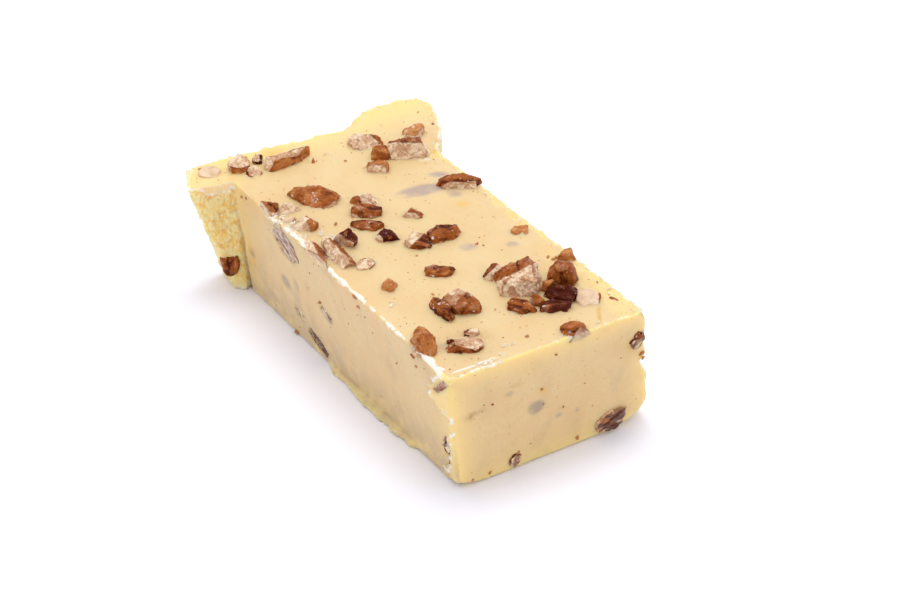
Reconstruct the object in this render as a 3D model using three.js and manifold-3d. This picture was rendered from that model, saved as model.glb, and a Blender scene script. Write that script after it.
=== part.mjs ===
// Pecan fudge: one hand-cut bar of vanilla fudge with chopped pecan pieces set in its top, sides and near end.
// Millimetres, +Z up. The knife-cut near end faces -Y and the slab's poured edge faces +Y.
import * as THREE from 'three';
import { mergeVertices } from 'three/addons/utils/BufferGeometryUtils.js';
import { ConvexGeometry } from 'three/addons/geometries/ConvexGeometry.js';
import Module from 'manifold-3d';

const wasm = await Module();
wasm.setup();

// Driving sizes of the bar
const HEIGHT = 28;
const WIDTH = 44.3;
const LEFT_SHOULDER = 83.4;
const RIGHT_SHOULDER = 70.4;
const POURED_EDGE = 93.6;
const LEAN = 3.2;
const LEFT_EAR = 9.5;
const RIGHT_EAR = 10;
const EAR_FOOT = 2.4;
const FOOT_ROUND = 0.9;
const CORNER_ROUND = 2.2;
const CORNER_REACH = { across: 0.12, along: 0.05 };
const TOP_ROUND = 0.5;
const BURR = 0.45;
const CRAG = 0.8;

// A foot of squeezed-out fudge along the left side, between two distances from the near end
const LIP_OUT = 2.8;
const LIP_HEIGHT = 1.6;
const LIP_FROM = 17;
const LIP_TO = 50;

// The bar is a box of this many cells, each corner of which is moved to its place
const CELLS = { across: 12, along: 50, up: 8 };
const BAR_SEED = 7;

// Pecan pieces: how much of each is sunk, the gap that neighbours keep, how far a cut one stands out of its face,
// and the points, pocket flats and unevenness of a piece. Their common bearing is the diagonal of the top.
const SUNK = 0.42;
const GAP = 0.3;
const PROUD = 0.12;
const PIECE_POINTS = 24;
const POCKET_FLATS = 22;
const UNEVEN = 0.1;
const BREAK_SWAY = { turn: 16, tilt: 10 };
const BEARING = -34;

const FUDGE_COLOUR = '#ecd09c';
const SKIN_COLOUR = '#8a4a22';
const FLESH_COLOUR = '#d2a883';

// The four edges of the top face and of the foot, as [x, y, share of the way along that edge]
const left = -WIDTH / 2 - LEAN / 2;
const right = WIDTH / 2 - LEAN / 2;
const TOP = {
  left: [[left, 0.6, 0], [left + 1.5, LEFT_SHOULDER, 0.8], [left - LEFT_EAR + 1.5, 85.6, 0.9],
    [left - LEFT_EAR + 4.9, POURED_EDGE, 1]],
  right: [[right, -1.6, 0], [right - 0.7, RIGHT_SHOULDER, 0.7], [right + RIGHT_EAR / 2, 77.4, 0.78],
    [right + RIGHT_EAR - 0.6, 87.6, 0.92], [right + RIGHT_EAR - 1.9, 91.9, 1]],
  back: [[left - LEFT_EAR + 4.9, POURED_EDGE, 0], [-9, 91.8, 0.34], [-3, 89.9, 0.45], [1.6, 90.6, 0.52],
    [7.4, 88.4, 0.61], [13.8, 92.3, 0.72], [20, 93.7, 0.84], [right + RIGHT_EAR - 1.9, 91.9, 1]],
};
const footLeft = left + LEAN;
const footRight = right + LEAN;
const FOOT = {
  left: [[footLeft, 1.5, 0], [footLeft + 1, LEFT_SHOULDER - 0.4, 0.8], [footLeft - EAR_FOOT + 0.6, 85.5, 0.9],
    [footLeft - EAR_FOOT + 1.5, POURED_EDGE - 2, 1]],
  right: [[footRight, 0.2, 0], [footRight - 1, RIGHT_SHOULDER, 0.7], [footRight + EAR_FOOT / 2, 77, 0.78],
    [footRight + EAR_FOOT, 85, 0.92], [footRight + EAR_FOOT - 0.6, 90, 1]],
  back: [[footLeft - EAR_FOOT + 1.5, POURED_EDGE - 2, 0], [-9, 89.6, 0.34], [-1.6, 87.6, 0.46], [7.4, 86.7, 0.6],
    [13.8, 90.2, 0.72], [20, 91.4, 0.84], [footRight + EAR_FOOT - 0.6, 90, 1]],
};
for (const rim of [TOP, FOOT]) {
  rim.front = [[...rim.left[0]], [...rim.right[0].slice(0, 2), 1]];
}

// The knife-cut faces, as planes whose normals point out of the bar
function cutFace(topPoint, nextPoint, footPoint) {
  const plane = new THREE.Plane().setFromCoplanarPoints(
    new THREE.Vector3(topPoint[0], topPoint[1], HEIGHT),
    new THREE.Vector3(nextPoint[0], nextPoint[1], HEIGHT),
    new THREE.Vector3(footPoint[0], footPoint[1], 0),
  );
  const inside = new THREE.Vector3(0, LEFT_SHOULDER / 2, HEIGHT / 2);
  return plane.distanceToPoint(inside) > 0 ? plane.negate() : plane;
}
const CUT_FACES = {
  left: cutFace(TOP.left[0], TOP.left[1], FOOT.left[0]),
  right: cutFace(TOP.right[0], TOP.right[1], FOOT.right[0]),
  front: cutFace(TOP.front[0], TOP.front[1], FOOT.front[0]),
};

// How a piece was broken: its roundness, and the flat breaks as [turn, tilt up, share of the way out to the skin].
// In a piece's own frame its length runs along +X and -Y is its near side.
const SHAPES = {
  lump: { power: 2.4, breaks: [[8, 8, 0.82], [176, 12, 0.8]] },
  tail: { power: 2.2, breaks: [[160, 42, 0.35], [-100, 30, 0.6]] },
  blunt: { power: 2.2, breaks: [[20, 42, 0.35], [-80, 30, 0.62]] },
  slice: { power: 2.6, breaks: [[-70, 76, 0.5], [150, 20, 0.8]] },
  round: { power: 2.2, breaks: [[-60, 55, 0.42]] },
  wedge: { power: 2.6, breaks: [[-88, 12, 0.42], [12, 22, 0.72], [-170, 15, 0.8]] },
  roof: { power: 1.35, breaks: [[165, 30, 0.62], [-60, -8, 0.72]] },
  ridge: { power: 1.5, breaks: [[-95, 2, 0.6], [10, 15, 0.85]] },
  stick: { power: 3, breaks: [[80, 52, 0.42], [0, 12, 0.86], [180, 30, 0.84]] },
  shard: { power: 1.8, breaks: [[-120, 38, 0.3], [30, 30, 0.45], [110, 25, 0.6]] },
  leaf: { power: 1.8, breaks: [[-80, 50, 0.55], [-50, 6, 0.66]] },
  spear: { power: 1.7, breaks: [[-85, 42, 0.5], [95, 40, 0.6]] },
};

// Pieces in the top: x, y, length, width, rise above the top, turn from the common bearing, shape
const TOP_PIECES = [
  [-24.8, 88.9, 4.6, 3.6, 1.0, 0, 'slice'],
  [-18.8, 87.0, 4.6, 4.2, 2.3, 20, 'slice'],
  [-17.3, 83.4, 3.0, 2.6, 1.5, 0, 'round'],
  [-14.0, 86.8, 2.9, 2.4, 1.6, -20, 'lump'],
  [-9.4, 84.2, 11.2, 4.6, 3.0, 40, 'stick'],
  [-12.2, 67.6, 11.6, 6.4, 2.6, -16, 'leaf'],
  [-22.8, 69.4, 5.6, 5.0, 1.9, 10, 'lump'],
  [-18.8, 67.2, 5.4, 3.6, 2.0, 58, 'shard'],
  [-20.3, 64.0, 4.0, 3.0, 1.5, 20, 'shard'],
  [-19.2, 60.6, 6.0, 4.0, 2.2, -12, 'tail'],
  [-22.6, 49.4, 11.0, 3.2, 1.5, 118, 'stick'],
  [-19.0, 48.0, 12.4, 4.8, 2.4, -60, 'spear'],
  [-15.2, 50.4, 5.2, 4.6, 3.2, -30, 'roof'],
  [-16.2, 41.6, 3.6, 3.0, 0.9, 0, 'slice'],
  [-3.7, 60.6, 6.4, 3.2, 2.1, 0, 'blunt'],
  [-6.0, 57.4, 6.8, 3.4, 1.8, -4, 'lump'],
  [-8.2, 53.0, 7.2, 2.9, 1.3, -4, 'lump'],
  [-7.0, 47.2, 5.0, 3.8, 2.3, -12, 'roof'],
  [1.2, 52.0, 5.0, 2.8, 1.2, 0, 'tail'],
  [-3.2, 42.2, 5.6, 4.2, 1.9, 5, 'slice'],
  [1.8, 41.8, 8.6, 4.2, 2.4, 34, 'ridge'],
  [-5.6, 31.2, 6.0, 3.0, 1.4, 6, 'lump'],
  [-8.9, 19.2, 8.8, 6.8, 3.3, -22, 'roof'],
  [-12.3, 19.3, 7.2, 3.6, 2.0, -52, 'lump'],
  [-16.3, 32.6, 3.6, 2.7, 1.2, 75, 'lump'],
  [-21.6, 12.8, 7.6, 4.6, 2.8, 99, 'roof'],
  [-15.4, 8.0, 7.4, 4.0, 1.5, 4, 'lump'],
  [-12.0, 10.6, 3.2, 2.0, 1.2, 10, 'lump'],
  [2.9, 24.9, 4.6, 3.2, 1.9, 50, 'round'],
  [5.4, 19.4, 8.8, 10.0, 4.2, -4, 'wedge'],
  [8.6, 14.8, 3.4, 2.8, 2.2, -30, 'lump'],
  [13.4, 15.9, 6.2, 5.8, 4.8, -10, 'ridge'],
  [18.4, 21.8, 3.8, 3.0, 2.3, -10, 'roof'],
  [9.5, 11.2, 6.8, 4.0, 2.3, -24, 'lump'],
  [0.9, 12.3, 6.0, 3.6, 1.6, -20, 'lump'],
  [4.7, 11.8, 4.8, 3.2, 1.9, 10, 'blunt'],
  [6.0, 8.8, 7.0, 3.0, 1.5, 8, 'lump'],
  [13.2, 7.6, 5.2, 4.4, 1.7, -10, 'round'],
  [4.9, 0.2, 5.8, 3.8, 1.7, 4, 'wedge'],
  [16.2, 56.2, 8.6, 4.4, 2.4, 0, 'ridge'],
  [16.2, 34.8, 3.6, 2.6, 1.0, 0, 'slice'],
  [8.4, 80.6, 6.8, 4.8, 1.9, -6, 'round'],
  [13.6, 72.4, 9.2, 5.6, 3.4, 12, 'wedge'],
  [19.2, 78.4, 4.8, 3.4, 2.0, 26, 'lump'],
  [8.4, 74.6, 4.2, 3.6, 2.3, 0, 'lump'],
  [5.2, 70.4, 5.2, 3.8, 2.0, -4, 'wedge'],
];

// Pieces that the knife cut through, flush with a side: face, x or y along it, z, length, height, slant in degrees
const SIDE_PIECES = [
  ['left', 62.8, 23.0, 8.8, 6.4, -19],
  ['left', 61.0, 6.6, 4.4, 2.4, -20],
  ['left', 48.5, 14.0, 5.4, 2.2, -21],
  ['left', 54.2, 3.0, 8.6, 3.4, -20],
  ['left', 4.8, 8.8, 2.8, 4.4, -10],
  ['front', 14.0, 3.3, 7.4, 4.0, -12],
  ['front', 19.2, 21.6, 3.8, 3.2, -50],
  ['front', -8.4, 2.6, 2.4, 2.6, 20],
  ['left', 4.1, 24.3, 7.4, 1.6, 44],
];
const SIDE_DEPTH = 4.4;

// The piece that stands out of the broken face under the left ear: middle, and length, width and height
const EAR_PIECE = { at: [-23.2, 85, 7.4], size: [4.4, 4.2, 6.2] };

// Solids from geometries and back
function solidOf(geometry) {
  const bare = geometry.clone();
  bare.deleteAttribute('normal');
  bare.deleteAttribute('uv');
  const merged = mergeVertices(bare, 1e-4);
  return new wasm.Manifold(new wasm.Mesh({
    numProp: 3,
    vertProperties: new Float32Array(merged.attributes.position.array),
    triVerts: new Uint32Array(merged.index.array),
  }));
}

function geometryOf(solid) {
  const mesh = solid.getMesh();
  const geometry = new THREE.BufferGeometry();
  geometry.setAttribute('position', new THREE.BufferAttribute(new Float32Array(mesh.vertProperties), 3));
  geometry.setIndex(new THREE.BufferAttribute(new Uint32Array(mesh.triVerts), 1));
  geometry.computeVertexNormals();
  return geometry;
}

// Keep the side of a solid that lies behind a plane
function cutBack(solid, plane, out = 0) {
  const { x, y, z } = plane.normal;
  return solid.trimByPlane([-x, -y, -z], plane.constant - out);
}

// A point on an edge of the bar, by its share of the way along that edge
function alongEdge(edge, share) {
  const next = Math.max(1, edge.findIndex((corner) => corner[2] >= share));
  const [from, to] = [edge[next - 1], edge[next]];
  const part = (share - from[2]) / (to[2] - from[2]);
  return new THREE.Vector2(from[0], from[1]).lerp(new THREE.Vector2(to[0], to[1]), part);
}

// A face stretched between its four edges: the two ruled faces less the flat one through the corners
function faceBetween(rim, u, v) {
  const point = alongEdge(rim.front, u).multiplyScalar(1 - v);
  point.addScaledVector(alongEdge(rim.back, u), v);
  point.addScaledVector(alongEdge(rim.left, v), 1 - u);
  point.addScaledVector(alongEdge(rim.right, v), u);
  for (const [edge, share, weight] of [['front', 0, (1 - u) * (1 - v)], ['front', 1, u * (1 - v)],
    ['back', 0, (1 - u) * v], ['back', 1, u * v]]) {
    point.addScaledVector(alongEdge(rim[edge], share), -weight);
  }
  return point;
}

// How far the foot of the bar is rounded in at a height, more so at the near right corner
function footInset(u, v, z) {
  const corner = Math.exp(-(((1 - u) / CORNER_REACH.across) ** 2) - (v / CORNER_REACH.along) ** 2);
  const radius = FOOT_ROUND + CORNER_ROUND * corner;
  const below = Math.max(0, radius - z);
  return radius - Math.sqrt(radius * radius - below * below);
}

// The broken faces under both ears and along the poured edge
function brokenShare(u, v) {
  const leftEar = u === 0 && v > 0.8 ? 1 : 0;
  const rightEar = u === 1 && v > 0.7 ? 0.8 : 0;
  return Math.max(leftEar, rightEar, v === 1 ? 0.5 : 0);
}

// Where the corner (u, v, w) of a unit box lies on the bar
function barPoint(u, v, w, random) {
  const z = HEIGHT * (1 - Math.cos(Math.PI * w)) / 2;
  const round = footInset(u, v, z) + (w === 1 ? TOP_ROUND : 0);
  const inU = THREE.MathUtils.lerp(round / WIDTH, 1 - round / WIDTH, u);
  const inV = THREE.MathUtils.lerp(round / POURED_EDGE, 1 - round / POURED_EDGE, v);
  const plan = faceBetween(FOOT, inU, inV).lerp(faceBetween(TOP, inU, inV), z / HEIGHT);
  const onSide = u === 0 || u === 1 || v === 0 || v === 1;
  const point = new THREE.Vector3(plan.x, plan.y, z);
  if (onSide && w > 0 && w < 1) {
    const crag = CRAG * brokenShare(u, v) * (2 * random() - 1);
    point.x += crag * (u - 0.5);
    point.y += crag * (v === 1 ? 1 : -1);
  }
  if (onSide && w === 1) {
    point.z += BURR * random();
  }
  if (u === 0 && plan.y > LIP_FROM && plan.y < LIP_TO) {
    const swell = Math.sin(Math.PI * (plan.y - LIP_FROM) / (LIP_TO - LIP_FROM)) ** 0.3;
    point.x -= LIP_OUT * swell * Math.max(0, 1 - z / LIP_HEIGHT);
  }
  return point;
}

function barSolid() {
  const toShare = (c) => THREE.MathUtils.clamp(c + 0.5, 0, 1);
  const geometry = new THREE.BoxGeometry(1, 1, 1, CELLS.across, CELLS.along, CELLS.up);
  geometry.deleteAttribute('normal');
  geometry.deleteAttribute('uv');
  const bar = mergeVertices(geometry, 1e-4);
  const { position } = bar.attributes;
  const random = seeded(BAR_SEED);
  for (let i = 0; i < position.count; i += 1) {
    const [u, v, w] = [position.getX(i), position.getY(i), position.getZ(i)].map(toShare);
    position.setXYZ(i, ...barPoint(u, v, w, random).toArray());
  }
  return solidOf(bar);
}

function seeded(seed) {
  let state = seed;
  return () => {
    state = (state * 16807) % 2147483647;
    return state / 2147483647;
  };
}

// Directions spread evenly over a ball, along a spiral from pole to pole
function evenWays(count, start = 0) {
  return Array.from({ length: count }, (_, i) => {
    const z = 1 - (2 * i + 1) / count;
    const turn = (i + start) * Math.PI * (3 - Math.sqrt(5));
    return new THREE.Vector3(Math.cos(turn), Math.sin(turn), 0).multiplyScalar(Math.sqrt(1 - z * z)).setZ(z);
  });
}

// One piece of chopped pecan about its own middle: a rounded kernel, uneven, with its flat breaks
function pecanPiece(size, shape, seed) {
  const random = seeded(seed * 7919 + 13);
  const { power, breaks } = SHAPES[shape];
  const half = new THREE.Vector3(...size).multiplyScalar(0.5);
  const points = [];
  for (const way of evenWays(PIECE_POINTS, random())) {
    const norm = Math.abs(way.x) ** power + Math.abs(way.y) ** power + Math.abs(way.z) ** power;
    points.push(way.multiplyScalar(norm ** (-1 / power) * (1 - UNEVEN * random())).multiply(half));
  }
  let solid = solidOf(new ConvexGeometry(points));
  for (const [turn, tilt, share] of breaks) {
    const angle = THREE.MathUtils.degToRad(turn + BREAK_SWAY.turn * (random() - 0.5));
    const rise = THREE.MathUtils.degToRad(tilt + BREAK_SWAY.tilt * (random() - 0.5));
    const flat = Math.cos(rise);
    const normal = new THREE.Vector3(flat * Math.cos(angle), flat * Math.sin(angle), Math.sin(rise));
    const reach = Math.max(...points.map((point) => point.dot(normal)));
    solid = cutBack(solid, new THREE.Plane(normal, -share * reach));
  }
  const box = boundsOf(solid);
  const stretch = new THREE.Vector3(...size).divide(box.getSize(new THREE.Vector3()));
  return solid.translate(box.getCenter(new THREE.Vector3()).negate().toArray()).scale(stretch.toArray());
}

// A piece of the knife-cut stretch of the bar ends at the cut faces, a trace proud of them
function cutFlush(solid) {
  return Object.values(CUT_FACES).reduce((rest, plane) => cutBack(rest, plane, PROUD), solid);
}

function topPiece([x, y, length, width, rise, turn, shape], seed) {
  const height = rise / (1 - SUNK);
  const solid = pecanPiece([length, width, height], shape, seed)
    .rotate([0, 0, BEARING + turn])
    .translate([x, y, HEIGHT + rise - height / 2]);
  return y < RIGHT_SHOULDER ? cutFlush(solid) : solid;
}

function sidePiece([face, along, z, length, height, slant], seed) {
  const plane = CUT_FACES[face];
  const rough = face === 'left' ? [left, along, z] : [along, 0, z];
  const middle = plane.projectPoint(new THREE.Vector3(...rough), new THREE.Vector3());
  const solid = pecanPiece([length, SIDE_DEPTH, height], 'lump', seed)
    .rotate([0, slant, 0])
    .rotate([0, 0, face === 'left' ? 90 : 0])
    .translate(middle.toArray());
  return cutFlush(solid);
}

function earPiece({ at, size }, seed) {
  return pecanPiece(size, 'shard', seed).translate(at);
}

function cornersOf(solid) {
  const { vertProperties } = solid.getMesh();
  const count = vertProperties.length / 3;
  return Array.from({ length: count }, (_, i) => new THREE.Vector3().fromArray(vertProperties, 3 * i));
}

function boundsOf(solid) {
  return new THREE.Box3().setFromPoints(cornersOf(solid));
}

// Two pieces that meet are both cut back to the plane half way between them
function keepApart(pieces) {
  for (let a = 0; a < pieces.length; a += 1) {
    for (let b = a + 1; b < pieces.length; b += 1) {
      const [boxA, boxB] = [boundsOf(pieces[a]), boundsOf(pieces[b])];
      const near = boxA.expandByScalar(GAP).intersectsBox(boxB);
      if (near && pieces[a].intersect(pocketRound(pieces[b])).volume() > 0) {
        const normal = boxB.getCenter(new THREE.Vector3()).sub(boxA.getCenter(new THREE.Vector3())).normalize();
        const far = Math.max(...cornersOf(pieces[a]).map((corner) => corner.dot(normal)));
        const close = Math.min(...cornersOf(pieces[b]).map((corner) => corner.dot(normal)));
        const half = new THREE.Plane(normal, -(far + close) / 2);
        pieces[a] = cutBack(pieces[a], half, -GAP / 2);
        pieces[b] = cutBack(pieces[b], half.clone().negate(), -GAP / 2);
      }
    }
  }
  return pieces;
}

// The snug pocket round a piece: flats facing evenly all ways, each a gap away from it
function pocketRound(solid) {
  const box = boundsOf(solid).expandByScalar(4 * GAP);
  const size = box.getSize(new THREE.Vector3());
  const middle = box.getCenter(new THREE.Vector3());
  let block = solidOf(new THREE.BoxGeometry(size.x, size.y, size.z)).translate(middle.toArray());
  const corners = cornersOf(solid);
  for (const way of evenWays(POCKET_FLATS)) {
    const reach = Math.max(...corners.map((corner) => corner.dot(way)));
    block = cutBack(block, new THREE.Plane(way, -reach), GAP);
  }
  return block;
}

// The bar without the loose scraps that a cut can leave
function largest(solid) {
  return solid.decompose().sort((a, b) => b.volume() - a.volume())[0];
}

function named(name, solid, colour, roughness) {
  const material = new THREE.MeshStandardMaterial({ color: colour, roughness, metalness: 0 });
  const mesh = new THREE.Mesh(geometryOf(solid), material);
  mesh.name = name;
  return mesh;
}

const topSolids = TOP_PIECES.map((row, i) => topPiece(row, i + 1));
const sideSolids = SIDE_PIECES.map((row, i) => sidePiece(row, i + 101));
const pecans = keepApart([...topSolids, ...sideSolids, earPiece(EAR_PIECE, 201)]);
const fudge = largest(pecans.reduce((bar, piece) => bar.subtract(pocketRound(piece)), barSolid()));

const group = new THREE.Group();
group.add(named('fudge', fudge, FUDGE_COLOUR, 0.45));
pecans.forEach((solid, i) => {
  const shape = TOP_PIECES[i]?.[6] ?? 'lump';
  const pale = ['slice', 'round', 'shard', 'spear'].includes(shape);
  group.add(named(`pecan_${String(i + 1).padStart(2, '0')}`, solid, pale ? FLESH_COLOUR : SKIN_COLOUR, 0.5));
});

// The origin is the middle of the whole part's box, on the surface that it rests on
const whole = new THREE.Box3().setFromObject(group);
const centre = whole.getCenter(new THREE.Vector3());
group.position.set(-centre.x, -centre.y, -whole.min.z);

export default group;
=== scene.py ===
"""One hand-cut bar of vanilla fudge with chopped pecan pieces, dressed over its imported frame.

Shapes are worked out in millimetres about the middle of the knife-cut near end, x to the right, y to the
poured edge and z up, and are moved into the part's frame in metres as the last step.
"""
import math
from types import SimpleNamespace

import bpy
import numpy as np
from bpy.props import FloatProperty, FloatVectorProperty, IntProperty, PointerProperty
from bpy.types import Operator, Panel, PropertyGroup
from mathutils import Matrix, Vector


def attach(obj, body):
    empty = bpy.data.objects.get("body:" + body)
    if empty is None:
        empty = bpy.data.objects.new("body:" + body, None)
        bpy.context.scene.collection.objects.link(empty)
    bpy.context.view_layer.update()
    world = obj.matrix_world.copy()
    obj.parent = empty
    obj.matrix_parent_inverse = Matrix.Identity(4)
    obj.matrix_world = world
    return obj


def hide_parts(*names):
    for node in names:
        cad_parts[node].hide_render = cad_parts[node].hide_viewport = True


bl_info = {
    "name": "Pecan Fudge",
    "version": (1, 0, 0),
    "blender": (4, 5, 0),
    "location": "View3D > Sidebar > Fudge",
    "description": "Builds a bar of pecan fudge with its pecan pieces, sugar flakes and crumbs",
    "category": "Add Mesh",
}

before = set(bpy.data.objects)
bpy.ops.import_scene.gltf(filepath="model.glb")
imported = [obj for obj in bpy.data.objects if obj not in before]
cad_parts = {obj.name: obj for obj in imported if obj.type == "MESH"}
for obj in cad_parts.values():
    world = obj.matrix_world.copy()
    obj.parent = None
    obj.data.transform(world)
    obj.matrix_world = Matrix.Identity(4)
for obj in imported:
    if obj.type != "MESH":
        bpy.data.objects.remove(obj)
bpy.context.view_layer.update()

MM = 0.001
# Where the middle of the near end's cut lies in the part's frame, in millimetres
NEAR_END = np.array([0.8465, -46.0497, 0.0])
# The bar's cells across, along and up
BAR_CELLS = (120, 250, 84)
# Where the grid's lines crowd, across, along and up: share of the way, breadth and how much closer they lie
CROWDS = (
    ((0, 0.05, 2.5), (1, 0.05, 2.0)),
    ((0, 0.03, 2.0), (0.8, 0.02, 2.5), (0.87, 0.05, 1.2), (1, 0.04, 1.0)),
    ((0, 0.06, 1.0), (1, 0.08, 1.8)),
)
# The share of an edge's length over which its corners are eased
CORNER_EASE = 0.012
# How near the foot the upright edges are rounder
FOOT_REACH = 8.0
# How far from a pecan piece the fudge and the other pieces feel it
PIECE_REACH = 2.0
# A pecan piece's cells, and the fewest and the most of them along a side
PIECE_CELL = 0.21
PIECE_CELLS = (16, 50)
# The power to which a piece's flats are added up, which sets how sharp its edges are
EDGE_POWER = 150
# How many of a piece's largest flats set its form, how far those and the small ones stand back, and how
# many of its corners are chipped off
MAIN_FLATS = 9
MAIN_BACK = 1.05
SMALL_BACK = 1.14
KNOCKS = 4
# Faces whose directions agree to this share and whose distances agree to this length are one flat
FLAT_TURN = 1 / 40
FLAT_STEP = 1 / 8
# A flat lies in a knife-cut face where the cosine between the two is above this and the gap below this
FLUSH_COSINE = 0.998
FLUSH_GAP = 0.4
# Edges sharper than this are shaded crisp
CRISP = math.radians(28)
# The lowest that loose bits lie
BIT_FLOOR = 0.02

# How the pieces look from the near left corner: right, up and towards the eye
RIGHT, UP, TOWARDS = np.array([(0.832, -0.556, 0.0), (0.316, 0.473, 0.823), (-0.457, -0.684, 0.569)])
EYE_AXES = {"r": RIGHT, "l": -RIGHT, "u": UP, "d": -UP, "f": TOWARDS, "b": -TOWARDS}
TONES = {"dark": 0.0, "deep": 0.3, "brown": 0.55, "golden": 0.85, "tan": 1.2}
# For each pecan piece in order: tone of its skin, the ways that the skin faces, how much of the piece it
# covers and how much fudge is smeared over it
PIECE_LOOKS = (
    ("tan", "l", 0, 0), ("golden", "dr", 0.6, 0.15), ("brown", "d", 0.58, 0), ("dark", "dr", 0.5, 0.2),
    ("golden", "d", 0.5, 0.1), ("golden", "ul", 0.72, 0), ("brown", "u", 0.3, 0.15),
    ("golden", "d", 0.4, 0.15), ("brown", "d", 0.45, 0.15), ("golden", "r", 0.45, 0.1),
    ("brown", "ur", 0.52, 0.1), ("brown", "rb", 0.5, 0.05), ("deep", "r", 0.5, 0.25),
    ("brown", "rb", 0.5, 0), ("golden", "ld", 0.45, 0.2), ("brown", "ur", 0.75, 0.05),
    ("brown", "uf", 0.92, 0.05), ("dark", "ru", 0.66, 0), ("brown", "r", 0.52, 0.1),
    ("brown", "rd", 0.6, 0.25), ("brown", "u", 0.78, 0.05), ("brown", "uf", 0.92, 0),
    ("brown", "rd", 0.66, 0.05), ("deep", "uf", 0.92, 0), ("tan", "uf", 0.85, 0.05),
    ("golden", "uf", 0.9, 0), ("deep", "dl", 0.6, 0.5), ("deep", "l", 0.4, 0.25), ("deep", "ul", 0.28, 0.1),
    ("brown", "uul", 0.25, 0.3), ("tan", "uf", 0.8, 0.1), ("brown", "uf", 0.92, 0),
    ("golden", "uf", 0.9, 0), ("dark", "uf", 0.95, 0), ("brown", "uf", 0.92, 0), ("golden", "ur", 0.8, 0.1),
    ("dark", "uf", 0.92, 0), ("brown", "r", 0.08, 0), ("brown", "u", 0.72, 0.05),
    ("brown", "ub", 0.86, 0.1), ("tan", "uf", 0.7, 0.15), ("brown", "ru", 0.15, 0), ("deep", "u", 0.2, 0.2),
    ("tan", "u", 0.6, 0.6), ("golden", "uf", 0.92, 0), ("golden", "u", 0.6, 0.15),
    ("dark", "rd", 0.35, 0.2), ("dark", "rd", 0.35, 0.4), ("dark", "rd", 0.4, 0.5),
    ("dark", "rd", 0.42, 0.2), ("brown", "d", 0.35, 0.65), ("dark", "bd", 0.42, 0.05),
    ("brown", "uf", 0.6, 0.3), ("brown", "uf", 0.8, 0.3), ("brown", "d", 0.35, 0.25),
    ("deep", "uf", 0.96, 0),
)
# Which pieces the knife cut through, by order, as are the next three
CUT_PIECES = range(46, 55)
# Pieces of smooth flesh, pieces whose skin lies at one side and not by its flats, and pieces of plain flats
SMOOTH_PIECES = (0, 37)
SIDE_SKIN_PIECES = (19, 22, 28, 29, 37, 41, 42)
PLAIN_PIECES = (0, 22, 31, 37, 55)
# How much of the relief the pieces of plain flats get
PLAIN_RELIEF = 0.3

# Soft spots in the fudge: x, y and z of the middle, half sizes along, across and down, turn and weight.
# First pale shadows of pieces just under the surface
GHOSTS = (
    (8, 58.7, 28, 5, 1.9, 4, -12, 1.2), (14.6, 61.9, 28, 3, 1.6, 4, -30, 0.6),
    (4.4, 35.7, 28, 2.2, 1.7, 4, -34, 0.7), (12.3, 31.6, 28, 1.6, 1.3, 4, -34, 0.7),
    (13.2, 53.6, 28, 2.2, 2, 4, -34, 0.5), (-21.6, 65.5, 12.6, 4, 1.8, 1.8, 0, 0.8),
    (-22, 60.5, 14.5, 4, 1.2, 2.2, 0, 0.5), (-22.4, 79.2, 11.4, 4, 1.6, 1.2, 0, 0.8),
    (-20.7, 61, 10, 4, 3.4, 5, 0, 0.42), (-17.7, 0.2, 17.6, 2.2, 4, 0.9, 0, 0.38),
    (-18.6, 10.4, 28, 3, 1.6, 3, -34, 0.4), (-10.2, 0, 19.6, 1.6, 4, 1, 0, 0.5),
    (-3.9, 0, 13.8, 2, 4, 1.6, 0, 1), (1.6, 0, 9.6, 1.4, 4, 1, 0, 0.5), (5.9, 0, 9.2, 1, 4, 0.9, 0, 0.5),
)
# Brown stains round pieces and under crumbs
STAINS = (
    (-18.9, 0.2, 17.4, 0.9, 4, 0.8, 0, 1), (-17.4, 0.2, 18, 1.9, 4, 0.5, 0, 0.6),
    (-8.9, 0.2, 21.2, 1.4, 4, 0.5, 0, 0.3), (-3.9, 0, 13.8, 1.4, 4, 1.1, 0, 0.35),
    (2, 0, 11.2, 0.8, 4, 0.7, 0, 0.35), (-22, 79.6, 12.4, 4, 1.2, 0.9, 0, 0.6),
    (-21.8, 68, 9, 4, 0.5, 1.2, 0, 0.4), (-22.2, 55.6, 16.6, 4, 0.6, 1.4, 0, 0.35),
    (-22.6, 40.4, 22.2, 4, 0.5, 0.9, 0, 0.35), (-21, 72.6, 5.4, 4, 0.6, 1, 0, 0.4),
    (18.4, 1, 20.6, 3.4, 4, 2.4, 0, 0.35), (-21, 10.6, 28, 3.4, 1.6, 3, -34, 0.35),
    (-14.2, 10.2, 28, 4.4, 2.6, 3, -34, 0.25), (8, 13.6, 28, 8, 7, 3, 0, 0.25),
    (-18.6, 57, 28, 5, 9, 3, 0, 0.22), (-5.8, 57, 28, 5, 6, 3, 0, 0.2), (12, 74, 28, 6, 5, 3, 0, 0.2),
    (9.8, 60.1, 28, 2.2, 0.4, 3, -28, 0.6), (-10.7, 9.2, 28, 3.2, 1.8, 3, -34, 0.35),
    (-13, 4.4, 28, 6, 2.4, 3, -3, 0.2), (19.6, 70, 28, 1.2, 0.8, 3, -20, 0.5),
)
# Cracks in the top near the right edge
CRACKS = (
    (12.9, 3.7, 28, 1.3, 0.3, 2, 54, 0.9), (11.4, 1.4, 28, 1.4, 0.3, 2, 60, 0.8),
)
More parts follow.
